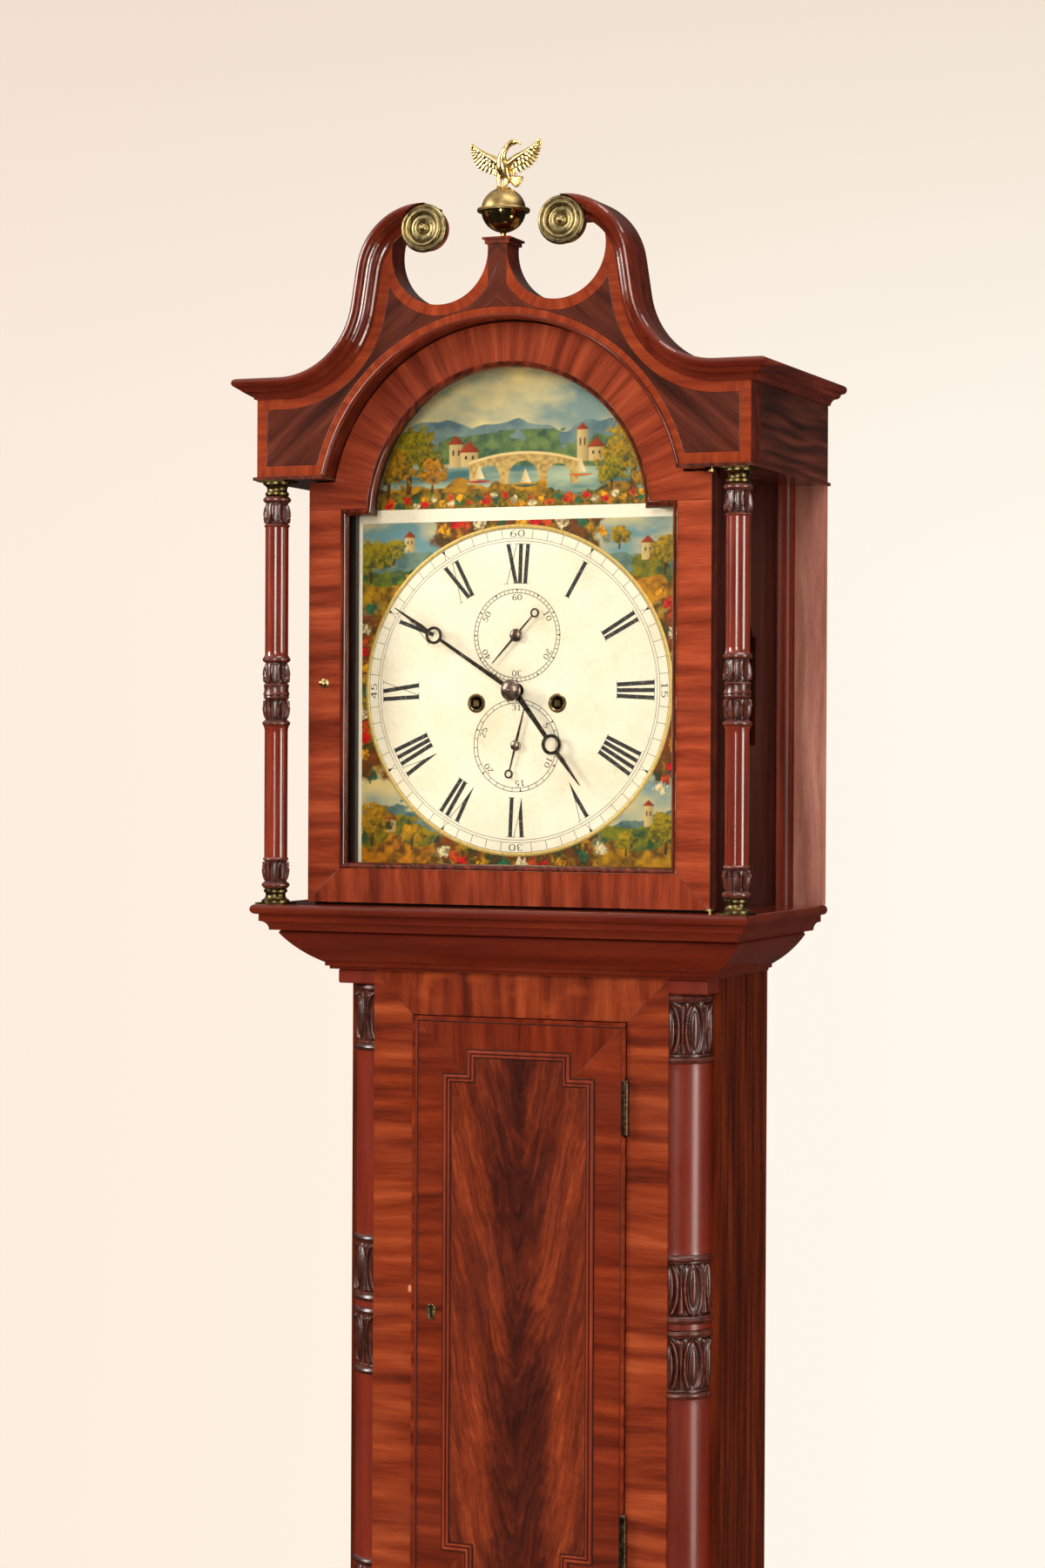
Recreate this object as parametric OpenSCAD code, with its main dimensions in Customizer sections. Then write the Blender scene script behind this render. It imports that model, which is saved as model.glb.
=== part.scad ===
// Eight-day longcase clock with an arched painted dial and a swan-neck hood.
// Origin on the floor at the middle of the whole footprint, +Z up, dial facing -Y.

/* [Overall] */
// Height of the dial's centre above the floor
dial_z = 1500; // [1470:1:1560]
// Depth of the whole clock, from cornice nose to backboard
depth = 258.6; // [250:0.1:280]
// Half width of the frieze
frieze_half = 250; // [246:0.5:262]
// How far the cornice stands out from the frieze
cornice_out = 19; // [16:0.5:22]

/* [Dial and hands] */
// Radius of the gold ring round the chapter ring
gold_ring_r = 158; // [150:0.5:160]
// Half width of the dial plate
dial_half = 166; // [163:0.5:168]
// Drop from the dial's centre to its bottom edge
dial_drop = 172; // [169:0.5:174]
// Radius of the dial's arch
dial_arch_r = 147; // [145:0.5:149]
// Height of the arch's centre above the dial's centre
arch_up = 165; // [160:0.5:167]
// Thickness of the iron dial plate
dial_t = 1.6; // [1.2:0.1:2]
// Distance of the winding squares from the centre line
winding_x = 41.65; // [40.5:0.05:43]
// Drop of the winding squares below the centre
winding_drop = 12; // [11:0.25:13]
// Height of the seconds arbor above the centre
seconds_up = 52.5; // [51.5:0.1:53]
// Drop of the calendar arbor below the centre
calendar_drop = 52.3; // [50:0.1:54]
// Length of the minute hand
minute_len = 146; // [138:1:150]
// Length of the hour hand
hour_len = 112; // [100:1:118]

/* [Hood] */
// Setback of the hood door behind the cornice nose
door_setback = 42; // [40:0.5:44]
// Setback of the dial behind the cornice nose
dial_setback = 72; // [70:0.5:75]
// Thickness of the pediment board
pediment_t = 30; // [26:0.5:32]
// Height of the frieze's underside above the dial's centre
frieze_up = 205; // [203:0.5:208]
// Height of the cornice moulding
cornice_h = 19; // [17:0.5:21]
// Height of the cornice's top above the dial's centre
cornice_up = 299; // [295:0.5:304]
// Radius of the arched opening in the frieze
frieze_arch_r = 182.5; // [181.5:0.25:184]
// Half width of the hood door
hood_door_half = 205; // [203:0.5:206]
// Thickness of the hood door
hood_door_t = 20; // [17:0.5:21]
// Half width of the hood door's opening
door_open_half = 171.5; // [169:0.5:173]
// Radius of the hood door's glazed arch
door_arch_r = 144.5; // [142:0.5:146]
// Half width of the hood over its side boards
hood_half = 207; // [206.5:0.5:210]
// Thickness of the hood's side boards
hood_side_t = 13; // [10:0.5:14]
// Half spread of the hood columns
hood_column_x = 234.5; // [232:0.5:236]
// Radius of the hood column's shaft
hood_column_r = 11.5; // [10:0.5:13]
// Height of the hood base moulding
hood_base_h = 25; // [22:0.5:28]
// Drop from the dial's centre to the hood base's top
hood_base_drop = 206; // [205:0.5:209]
// How far the hood can be drawn forwards on its runners
hood_travel = 260; // [100:5:300]

/* [Swan necks and finial] */
// Radius of the rising hollow of the swan neck
swan_low_r = 77.5; // [72:0.5:82]
// Centre of the rising hollow from the centre line
swan_low_x = 220; // [214:1:226]
// Lean of the straight stretch between the two curves, in degrees
swan_lean = 9; // [6:0.5:12]
// Length of the straight stretch
swan_straight = 36; // [30:1:40]
// Radius of the swan neck's head
swan_head_r = 67.5; // [64:0.5:70]
// Half spread of the rosettes
rosette_x = 69.4; // [66:0.2:72]
// Height of the rosettes above the dial's centre
rosette_up = 433; // [430:0.5:436]
// Radius of a rosette
rosette_r = 23; // [20:0.5:24]
// Centre of the round piercing beside the neck, from the centre line
piercing_x = 59; // [57:0.5:61]
// Height of the piercing's centre above the dial's centre
piercing_up = 412; // [408:0.5:416]
// Radius of the piercing
piercing_r = 49.5; // [46:0.5:50.5]
// Height of the neck's cap above the dial's centre
cap_up = 422.8; // [420:0.2:426]
// Radius of the brass ball
ball_r = 21; // [18:0.5:23]
// Wing span of the eagle
eagle_span = 75; // [66:1:80]

/* [Trunk] */
// Setback of the trunk's face behind the cornice nose
trunk_setback = 80.7; // [78:0.5:84]
// Half width of the trunk
trunk_half = 191; // [188:0.5:192]
// Thickness of the trunk's side boards
trunk_side_t = 16; // [13:0.5:18]
// Half width of the trunk's front frame
front_half = 151.6; // [149:0.2:153]
// Thickness of the trunk's front frame
front_t = 18; // [16:0.5:18.5]
// Half width of the trunk door
trunk_door_half = 109.9; // [104:0.5:112]
// Drop from the dial's centre to the trunk door's top
trunk_door_drop = 313; // [308:1:320]
// Height of the trunk door
trunk_door_h = 570; // [540:1:580]
// Thickness of the trunk door
trunk_door_t = 18; // [16:0.5:18.5]
// Radius of the quarter columns
quarter_r = 31.5; // [29:0.5:32]
// Height of the throat moulding under the hood
throat_h = 39; // [36:0.5:42]
// Height of the trunk's bottom above the floor
trunk_bottom = 575; // [560:1:590]
// Thickness of the backboard
back_t = 14.6; // [12:0.2:16]

/* [Base] */
// Half width of the base box
base_half = 232; // [228:1:236]
// Height of the skirting
skirting_h = 85; // [70:1:100]
// Height of the moulding between trunk and base
base_mould_h = 60; // [50:1:66]

/* [Movement] */
// Gap between the movement's plates
plate_gap = 61.5; // [60.5:0.5:62.5]
// Thickness of a plate
plate_t = 2.5; // [2:0.1:3]
// Room between the dial and the front plate
dial_room = 22.4; // [21.5:0.1:23]
// Radius of a barrel to the middle of its line
barrel_r = 25; // [24:0.5:26]
// Radius of a pulley to the middle of its line
pulley_r = 22; // [20:0.5:23]
// Radius of a weight
weight_r = 27; // [24:0.5:29]
// Length of a weight
weight_h = 240; // [200:5:260]
// Length of the pendulum from its bending point to the bob's centre
pendulum_len = 994; // [980:1:1000]
// Radius of the bob
bob_r = 56; // [50:1:60]
// Radius of the bell
bell_r = 46; // [40:1:50]

/* [Hidden] */
$fn = 48;

// Timber, brass and other colours
mahogany = [0.42, 0.13, 0.07];
dark_mahogany = [0.25, 0.08, 0.06];
pine = [0.62, 0.47, 0.30];
brass = [0.78, 0.62, 0.32];
aged_brass = [0.45, 0.38, 0.24];
gilt = [0.85, 0.70, 0.35];
steel = [0.45, 0.46, 0.48];
blued = [0.20, 0.18, 0.17];
iron = [0.22, 0.22, 0.23];
cream = [0.93, 0.91, 0.82];
gut = [0.75, 0.65, 0.45];
clear = [0.85, 0.90, 0.90, 0.35];

// Small clearances
touch = 0.01;
run_gap = 0.05;
joint_gap = 0.3;
shadow_gap = 0.8;
slide_gap = 1.5;

// Main planes, front to back
nose_y = -depth / 2;
back_y = depth / 2;
frieze_y = nose_y + cornice_out;
pediment_back = frieze_y + pediment_t;
door_y = nose_y + door_setback;
door_back = door_y + hood_door_t;
dial_y = nose_y + dial_setback;
trunk_y = nose_y + trunk_setback;
board_y = back_y - back_t;
mask_t = 7.5;
mask_y = door_back + 0.5;

// Main heights
frieze_z = dial_z + frieze_up;
cornice_z = dial_z + cornice_up;
arch_z = dial_z + arch_up;
hood_floor = dial_z - hood_base_drop;
throat_top = hood_floor - hood_base_h - joint_gap;
trunk_top = throat_top - throat_h;
soffit_t = 3;
soffit_z = frieze_z - soffit_t;
cap_z = dial_z + cap_up;

// Movement planes and centres, seen in X and Z
front_plate_y = dial_y + dial_t + dial_room;
inner_y = front_plate_y + plate_t;
back_plate_y = inner_y + plate_gap;
behind_y = back_plate_y + plate_t;
pendulum_y = behind_y + 17;
centre_at = [0, dial_z];
seconds_at = [0, dial_z + seconds_up];
going_at = [winding_x, dial_z - winding_drop];
strike_at = [-winding_x, dial_z - winding_drop];
plate_half = 66;
plate_top = dial_z + 92;
plate_bottom = dial_z - 78;
seat_t = 20;
anchor_at = [0, dial_z + seconds_up + 24];

// Toothed wheels: teeth and leaves
great_teeth = 96;
strike_great_teeth = 84;
leaves = 8;
centre_teeth = 64;
third_teeth = 60;
pin_teeth = 64;
locking_teeth = 56;
warning_teeth = 48;
fly_leaves = 7;
motion_teeth = 36;
hour_pinion = 6;
hour_teeth = 72;
escape_teeth = 30;

function span(a, b) = norm(b - a);
function heading(a, b) = atan2(b[1] - a[1], b[0] - a[0]);
function arc(c, r, a0, a1, n) =
    [for (i = [0:n]) c + r * [cos(a0 + (a1 - a0) * i / n), sin(a0 + (a1 - a0) * i / n)]];
// A circular arc from p to q that rises s to the left of the way from p to q
function bow(p, q, s, n) =
    let (c = norm(q - p), r = c * c / (8 * abs(s)) + abs(s) / 2, h = asin(c / (2 * r)),
         u = (q - p) / c, v = [-u[1], u[0]] * sign(s), m = (p + q) / 2)
    [for (i = [0:n]) let (a = -h + 2 * h * i / n) m + u * r * sin(a) + v * (r * cos(a) - r + abs(s))];

// Modules of the toothed wheels follow from the centre distances
great_m = 2 * span(centre_at, going_at) / (great_teeth + leaves);
third_d = 28.8;
escape_d = 25.5;
third_rise = (third_d * third_d - escape_d * escape_d + seconds_up * seconds_up) / (2 * seconds_up);
third_at = [sqrt(third_d * third_d - third_rise * third_rise), dial_z + third_rise];
centre_m = 2 * third_d / (centre_teeth + leaves);
third_m = 2 * escape_d / (third_teeth + leaves);
pin_d = great_m * (strike_great_teeth + leaves) / 2;
pin_at = strike_at + pin_d * [cos(84), sin(84)];
locking_m = 0.72;
locking_d = locking_m * (pin_teeth + leaves) / 2;
locking_at = pin_at + locking_d * [cos(70), sin(70)];
warning_m = 0.65;
warning_d = warning_m * (locking_teeth + leaves) / 2;
warning_at = locking_at + warning_d * [cos(85), sin(85)];
fly_m = 0.6;
fly_d = fly_m * (warning_teeth + fly_leaves) / 2;
fly_at = warning_at + fly_d * [cos(130), sin(130)];
motion_m = 0.75;
motion_d = motion_m * motion_teeth;
minute_wheel_at = centre_at + motion_d * [cos(-60), sin(-60)];
hour_m = 2 * motion_d / (hour_pinion + hour_teeth);
hammer_at = [-60, dial_z + 55];
bell_up = 99;
bell_z = dial_z + bell_up;
bell_y = behind_y - 9;

// Layers of the wheels between the plates, measured from the front plate's inner face
great_layer = 51;
centre_layer = 2;
pin_layer = 7.5;
third_layer = 39;
locking_layer = 31;
warning_layer = 15;
escape_layer = 20;
wheel_t = 2;

// Board standing in the X-Z plane, front face at y, thickness t towards the back
module standing(y, t) {
    translate([0, y + t, 0]) rotate([90, 0, 0]) linear_extrude(t) children();
}

module slab(x, y, z) {
    translate([x[0], y[0], z[0]]) cube([x[1] - x[0], y[1] - y[0], z[1] - z[0]]);
}

module both_sides() {
    children();
    mirror([1, 0, 0]) children();
}

// Round bar along Y from y0 to y1 at a point of the X-Z plane
module along_y(at, r, y0, y1) {
    translate([at[0], y1, at[1]]) rotate([90, 0, 0]) cylinder(r = r, h = y1 - y0);
}

// Mitred moulding on front and both sides; its profile is drawn as [projection, height],
// from the height low to high, with a straight inner edge at the projection seat
module three_sided(half, front, back, low, high, seat) {
    deep = 4 * half;
    difference() {
        intersection() {
            translate([2 * half, front, 0]) rotate([90, 0, -90]) linear_extrude(4 * half)
                filled_inward(low, high, seat, deep) children();
            translate([half, back, 0]) rotate([90, 0, 0]) linear_extrude(deep)
                filled_inward(low, high, seat, deep) children();
            mirror([1, 0, 0]) translate([half, back, 0]) rotate([90, 0, 0]) linear_extrude(deep)
                filled_inward(low, high, seat, deep) children();
        }
        slab([-half - seat, half + seat], [front - seat, back + 1], [low - 1, high + 1]);
    }
}

module filled_inward(low, high, seat, deep) {
    children();
    translate([seat - deep, low]) square([deep, high - low]);
}

// Case

module plinth() {
    out = 8;
    stock = 18;
    color(mahogany) three_sided(base_half, base_front_y(), back_y, 0, skirting_h, 1 - stock) polygon(concat(
        [[-stock + 1, 0], [out, 0], [out, skirting_h - 14]],
        bow([out, skirting_h - 14], [1, skirting_h], 2.5, 8),
        [[-stock + 1, skirting_h]]));
}

function base_front_y() = trunk_y - (base_half - trunk_half);
function base_top() = trunk_bottom - base_mould_h;
base_stock = 17;

module base_box() {
    inset = 0.2;
    front = base_front_y();
    face_z = [skirting_h + inset, base_top() - inset];
    panel_margin = 52;
    bead = 5;
    bead_out = 3;
    color(mahogany) {
        slab([-base_half, base_half], [front, front + base_stock], face_z);
        both_sides() slab([base_half - base_stock, base_half],
            [front + base_stock + touch, board_y - touch], face_z);
        slab([-base_half + base_stock + touch, base_half - base_stock - touch],
            [front + base_stock + touch, board_y - touch], [skirting_h, skirting_h + base_stock]);
        standing(front - bead_out, bead_out - touch) difference() {
            translate([-base_half + panel_margin, face_z[0] + panel_margin])
                square([2 * (base_half - panel_margin), face_z[1] - face_z[0] - 2 * panel_margin]);
            translate([-base_half + panel_margin + bead, face_z[0] + panel_margin + bead])
                square([2 * (base_half - panel_margin - bead),
                    face_z[1] - face_z[0] - 2 * (panel_margin + bead)]);
        }
    }
}

module base_moulding() {
    out = base_half - trunk_half;
    low = base_top();
    high = trunk_bottom - 0.2;
    seat = 1 - trunk_side_t;
    color(mahogany) three_sided(trunk_half, trunk_y, back_y, low, high, seat) polygon(concat(
        [[seat, low], [out + 3, low]],
        arc([out, low + 5], 5, -60, 90, 8),
        bow([out - 3, low + 10], [6, trunk_bottom - 7], 7, 12),
        [[6, trunk_bottom - 4], [3, trunk_bottom - 4], [3, high], [seat, high]]));
}

module backboard() {
    half_in = hood_half - hood_side_t - slide_gap;
    color(pine) {
        standing(board_y, back_t) {
            translate([-base_half + base_stock, 0]) square([2 * (base_half - base_stock), base_top()]);
            translate([-trunk_half + trunk_side_t, base_top() - 1])
                square([2 * (trunk_half - trunk_side_t), hood_floor - base_top()]);
            translate([-half_in, throat_top + joint_gap]) square([2 * half_in, arch_z - throat_top]);
            translate([0, arch_z]) circle(r = frieze_arch_r - slide_gap, $fn = 96);
        }
    }
}

cheek_top = plate_bottom - seat_t;
recess = 35;

module trunk_sides() {
    color(mahogany) both_sides() difference() {
        slab([trunk_half - trunk_side_t, trunk_half], [trunk_y + recess, back_y - touch],
            [base_top() + 1, cheek_top - touch]);
        slab([trunk_half - trunk_side_t - 1, trunk_half - trunk_side_t + 1], [board_y - touch, back_y],
            [0, cheek_top]);
        slab([trunk_half - trunk_side_t - 1, trunk_half + 1], [board_y - joint_gap, back_y],
            [throat_top, cheek_top]);
        slab([trunk_half - trunk_side_t + 0.5, trunk_half + 1],
            [trunk_y + recess - 1, back_y], [0, trunk_bottom]);
    }
}

function trunk_door_top() = dial_z - trunk_door_drop;
function trunk_door_bottom() = trunk_door_top() - trunk_door_h;
hinge_inset = 55;
hinge_len = 50;
hinge_r = 3.4;
hinge_pin_r = 1.5;
hinge_leaf_t = 1.2;
hinge_leaf_w = 14;
knuckles = 5;

function hinge_x() = trunk_door_half + shadow_gap / 2;
function hinge_y() = trunk_y - hinge_r - 0.4;
function hinge_bottoms() = [trunk_door_bottom() + hinge_inset,
                            trunk_door_top() - hinge_inset - hinge_len];

module trunk_front_frame() {
    open_half = trunk_door_half + shadow_gap;
    stile_y = [trunk_y, trunk_y + front_t];
    stile_z = [trunk_bottom, trunk_top - touch];
    rail_x = [touch - open_half, open_half - touch];
    block_w = 24;
    block_t = 12;
    color(mahogany) {
        difference() {
            slab([open_half, front_half], stile_y, stile_z);
            for (z = hinge_bottoms()) slab([open_half - 1, open_half + hinge_leaf_t],
                [trunk_y - 1, trunk_y + hinge_leaf_w], [z, z + hinge_len]);
        }
        difference() {
            slab([-front_half, -open_half], stile_y, stile_z);
            slab([-open_half - bolt_throw - 2, -open_half + 1], [bolt_y() - 0.1, bolt_y() + bolt_t + 0.1],
                [lock_z() - bolt_h / 2 - 0.2, lock_z() + bolt_h / 2 + 0.2]);
        }
        slab(rail_x, stile_y, [trunk_door_top() + shadow_gap, stile_z[1]]);
        slab(rail_x, stile_y, [stile_z[0], trunk_door_bottom() - shadow_gap]);
    }
    color(pine) both_sides() {
        slab([front_half - block_w, front_half], [stile_y[1] + touch, trunk_y + recess], stile_z);
        slab([front_half - block_w, trunk_half - trunk_side_t - touch],
            [trunk_y + recess + touch, trunk_y + recess + block_t], stile_z);
    }
}

// Quarter column profile: radius against height over its length
collar_h = 65;
block_h = 14;
function collar(z, up) = let (b = quarter_r, s = up ? 1 : -1, e = up ? z : z + collar_h) [
    [b + 0.3, e], [b + 2, e + s * 1.5], [b + 2.8, e + s * 3.5], [b + 2, e + s * 5.5], [b - 0.8, e + s * 6.5],
    [b - 0.5, e + s * 10], [b + 0.8, e + s * 14], [b + 0.2, e + s * 18], [b + 0.8, e + s * 26],
    [b + 2, e + s * 36], [b + 2.8, e + s * 46], [b + 1.8, e + s * 54], [b - 0.5, e + s * 58],
    [b + 1.5, e + s * 59], [b + 2.6, e + s * 61.5], [b + 1.5, e + s * 64], [b - 0.4, e + s * 65]];
function reversed(a) = [for (i = [len(a) - 1:-1:0]) a[i]];

module trunk_columns() {
    low = trunk_bottom + block_h;
    high = trunk_top - block_h;
    mid = (low + high) / 2;
    color(dark_mahogany) both_sides() {
        translate([front_half, trunk_y + recess, 0]) intersection() {
            rotate_extrude($fn = 64) polygon(concat(
                [[0, low + touch]], [[quarter_r, low + touch]],
                reversed(collar(low + 1, false)),
                collar(mid - collar_h - 3, true), [[quarter_r - 1.5, mid]],
                reversed(collar(mid + 3, false)),
                collar(high - collar_h - 1, true),
                [[quarter_r, high - touch], [0, high - touch]]));
            translate([touch, -quarter_r - 4, low]) cube([quarter_r + 4, quarter_r + 4 - touch, high - low]);
        }
        for (z = [trunk_bottom, high])
            slab([front_half + touch, trunk_half - 1], [trunk_y + 0.2, trunk_y + recess - touch],
                [z, z + block_h - touch]);
    }
}

module throat_moulding() {
    out = 43;
    edge_r = 3.4;
    low = trunk_top;
    seat = 0.2;
    color(mahogany) three_sided(trunk_half, trunk_y, board_y - joint_gap, low, throat_top, seat)
        polygon(concat(
            [[seat, low], [6, low], [6, low + 3], [9.5, low + 3]],
            bow([9.5, low + 6.4], [out, throat_top - edge_r], -2.5, 12),
            arc([out - edge_r, throat_top - edge_r], edge_r, 10, 90, 6),
            [[seat, throat_top]]));
}

line_r = 0.7;
line_hole_r = 3;
function going_lines() = [going_at[0] - barrel_r, going_at[0] - barrel_r + 2 * pulley_r];
function strike_lines() = [strike_at[0] - barrel_r, strike_at[0] - barrel_r + 2 * pulley_r];
drum_from = 12.5;
drum_stop = 4.5;
function drum_y() = inner_y + (drum_from + great_layer - drum_stop) / 2;

module seatboard() {
    half = trunk_half - touch;
    color(pine) difference() {
        slab([-half, half], [front_plate_y - 5, pendulum_y - 6], [cheek_top, plate_bottom - touch]);
        for (x = concat(going_lines(), strike_lines()))
            translate([x, drum_y(), cheek_top - 1]) cylinder(r = line_hole_r, h = seat_t + 2);
    }
}

// Knuckles of one hinge; even ones belong to the frame, odd ones to the door
module knuckle_set(parity, bore) {
    each_h = hinge_len / knuckles;
    for (i = [parity:2:knuckles - 1]) {
        z = i * each_h + (i == 0 ? 0 : 0.1);
        h = each_h - (i == 0 || i == knuckles - 1 ? 0.1 : 0.2);
        translate([0, 0, z]) difference() {
            union() {
                cylinder(r = hinge_r, h = h);
                side = parity == 0 ? shadow_gap / 2 : -shadow_gap / 2 - hinge_leaf_t;
                translate([side, 0, 0]) cube([hinge_leaf_t, hinge_r + 1, h]);
            }
            translate([0, 0, -1]) cylinder(r = bore, h = h + 2);
        }
    }
}

module trunk_hinge_leaves() {
    tip = 2.6;
    color(aged_brass) for (z = hinge_bottoms()) translate([hinge_x(), hinge_y(), z]) {
        knuckle_set(0, hinge_pin_r - 0.3);
        translate([shadow_gap / 2, hinge_r + 0.4, 0]) cube([hinge_leaf_t, hinge_leaf_w, hinge_len]);
        cylinder(r = hinge_pin_r, h = hinge_len);
        for (end = [0, hinge_len]) translate([0, 0, end]) sphere(r = tip, $fn = 24);
    }
}

function lock_z() = trunk_door_bottom() + trunk_door_h / 2;

module dial_outline(half, drop, shoulder, r) {
    translate([-half, dial_z - drop]) square([2 * half, drop + shoulder]);
    translate([0, arch_z]) circle(r = r, $fn = 128);
}

winding_hole_r = 6.5;
arbor_r = 1.5;
pipe_r = 5;

module dial_plate() {
    shoulder = 168;
    foot_x = 54;
    foot_r = 3;
    color(cream) standing(dial_y, dial_t) difference() {
        dial_outline(dial_half, dial_drop, shoulder, dial_arch_r);
        for (at = [going_at, strike_at]) translate(at) circle(r = winding_hole_r);
        translate(centre_at) circle(r = pipe_r + 2);
        translate(seconds_at) circle(r = arbor_r + run_gap);
        translate([0, dial_z - calendar_drop]) circle(r = arbor_r + run_gap);
    }
    color(steel) both_sides() for (up = [76.8, -70])
        along_y([foot_x, dial_z + up], foot_r, dial_y + dial_t - touch, front_plate_y - touch);
}

// Movement

module pivot_holes(list, r) {
    for (at = list) translate(at) circle(r = r + run_gap);
}

module plate_outline() {
    translate([-plate_half, plate_bottom]) square([2 * plate_half, plate_top - plate_bottom]);
}

pillar_spots = [[-57, -68], [57, -68], [-58, 84], [58, 84]];
square_r = 4;
train_pivots = [third_at, pin_at, locking_at, warning_at, fly_at, hammer_at];

module movement_frame() {
    color(brass) {
        standing(front_plate_y, plate_t) difference() {
            plate_outline();
            pivot_holes(concat(train_pivots, [minute_wheel_at]), 1);
            pivot_holes([anchor_at], 1.5);
            pivot_holes([seconds_at], arbor_r);
            pivot_holes([centre_at], 3);
            pivot_holes([going_at, strike_at], square_r);
        }
        standing(back_plate_y, plate_t) difference() {
            plate_outline();
            pivot_holes(train_pivots, 1);
            pivot_holes([seconds_at], 1);
            pivot_holes([centre_at], 2);
            pivot_holes([going_at, strike_at], square_r);
            translate(anchor_at) circle(r = 9);
        }
        for (p = pillar_spots) translate([p[0], back_plate_y - touch, dial_z + p[1]]) rotate([90, 0, 0])
            rotate_extrude($fn = 32) polygon(concat(
                [[0, 0], [6, 0], [6, 3], [4, 5]], bow([3.6, 6], [3.6, plate_gap / 2 - 4], -0.8, 6),
                [[5.5, plate_gap / 2 - 3], [5.5, plate_gap / 2 + 3]],
                bow([3.6, plate_gap / 2 + 4], [3.6, plate_gap - 6 - 2 * touch], -0.8, 6),
                [[4, plate_gap - 5], [6, plate_gap - 3]],
                [[6, plate_gap - 2 * touch], [0, plate_gap - 2 * touch]]));
        back_cock();
    }
}

cock_z = 18;
spring_slot = 1.4;

module back_cock() {
    foot_t = 4;
    rear = pendulum_y + 8;
    difference() {
        union() {
            both_sides() slab([12, 26], [behind_y + touch, behind_y + foot_t],
                [anchor_at[1] - 10, anchor_at[1] + cock_z]);
            both_sides() slab([12, 17], [behind_y + foot_t - 1, pendulum_y - 5],
                [anchor_at[1] - 6, anchor_at[1] + 8]);
            slab([-17, 17], [pendulum_y - 9, pendulum_y - 5], [anchor_at[1] - 6, anchor_at[1] + 8]);
            slab([-6, 6], [pendulum_y - 6, rear], [anchor_at[1] + 1, anchor_at[1] + 6]);
        }
        along_y(anchor_at, 1 + run_gap, behind_y, pendulum_y - 7);
        slab([-spring_slot / 2, spring_slot / 2], [pendulum_y - 4.6, rear + 1],
            [anchor_at[1] - 1, anchor_at[1] + 9]);
    }
}

module bell() {
    wall = 2.6;
    stud = 3;
    crown = bell_z + bell_r * 0.78;
    color(aged_brass) translate([0, bell_y, bell_z]) rotate_extrude($fn = 64) polygon(concat(
        [[bell_r + 1, 0]], bow([bell_r, 2], [10, bell_r * 0.78], -bell_r * 0.23, 18),
        [[stud, bell_r * 0.79], [stud, bell_r * 0.79 - wall]],
        bow([9, bell_r * 0.78 - wall], [bell_r - wall, 2], bell_r * 0.22, 18), [[bell_r - wall + 0.6, 0]]));
    color(steel) {
        bracket = 36;
        slab([bracket - 6, bracket + 6], [behind_y + touch, behind_y + 3], [bell_z - 69, bell_z - 35]);
        slab([bracket - 4, bracket + 2], [behind_y + touch, behind_y + 3], [bell_z - 39, bell_z + 8]);
        hull() {
            translate([bracket - 1, behind_y + 1.5, bell_z + 6]) cylinder(r = 1.5, h = 3, $fn = 24);
            translate([0, bell_y, crown - 12]) cylinder(r = 3, h = 3, $fn = 24);
        }
        translate([0, bell_y, crown - 10]) cylinder(r = stud - run_gap, h = 16);
        translate([0, bell_y, crown + 1.2]) cylinder(r = 6, h = 4, $fn = 6);
    }
}

weight_top_drop = 92;
function pulley_z() = cheek_top - 34;

module gut_line(lines) {
    color(gut) for (x = lines)
        translate([x, drum_y(), pulley_z()]) cylinder(r = line_r, h = cheek_top - pulley_z(), $fn = 24);
}

module gut_line_going() {
    gut_line(going_lines());
}

module gut_line_strike() {
    gut_line(strike_lines());
}

module upper_lines() {
    over = seat_t + 2;
    color(gut) for (train = [[going_lines(), going_at], [strike_lines(), strike_at]]) {
        translate([train[0][0], drum_y(), cheek_top + touch])
            cylinder(r = line_r, h = train[1][1] - cheek_top, $fn = 24);
        translate([train[0][1], drum_y(), cheek_top + touch])
            cylinder(r = line_r, h = over, $fn = 24);
        translate([train[0][1], drum_y(), cheek_top + seat_t + touch])
            cylinder(r = line_hole_r + 0.6, h = 3, $fn = 24);
    }
}

// Hood

hood_inner = hood_half - hood_side_t;

module hood_base() {
    nose = 4.8;
    out = frieze_half + 2 - hood_inner;
    front = nose_y + 10 + out;
    low = hood_floor - hood_base_h;
    color(mahogany) difference() {
        three_sided(hood_inner, front, back_y, low, hood_floor, 0) polygon(concat(
            [[0, low], [out - 14, low]],
            bow([out - 14, low + 1.5], [out - 8, low + 8.5], 1.4, 8),
            [[out - 6.6, low + 8.5], [out - 6.6, hood_floor - 2 * nose]],
            arc([out - nose, hood_floor - nose], nose, -90, 90, 10),
            [[0, hood_floor]]));
        translate([hood_hinge_x(), hood_hinge_y(), hood_floor - 8])
            cylinder(r = strap_pin_r + run_gap, h = 10);
    }
}

window_front = 102;
window_w = 66;
window_low = 51;
window_high = 52;
window_peak = 68;

module window_outline(grow) {
    wide = window_w + 2 * grow;
    low = dial_z - window_low - grow;
    spring = dial_z + window_high + grow;
    peak = [wide / 2, dial_z + window_peak + grow];
    translate([window_front - grow, 0]) polygon(concat(
        [[0, low], [wide, low], [wide, spring], [wide - 5, spring]],
        bow([wide - 8, spring], peak, -4, 8),
        bow(peak, [8, spring], -4, 8),
        [[5, spring], [0, spring]]));
}

// Shape drawn as [distance behind the cornice nose, height], cut through the hood's right side
module through_side(x, t) {
    translate([x, nose_y, 0]) rotate([90, 0, 90]) linear_extrude(t) children();
}

rear_stile_t = 11.6;
rebate = 4;

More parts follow.
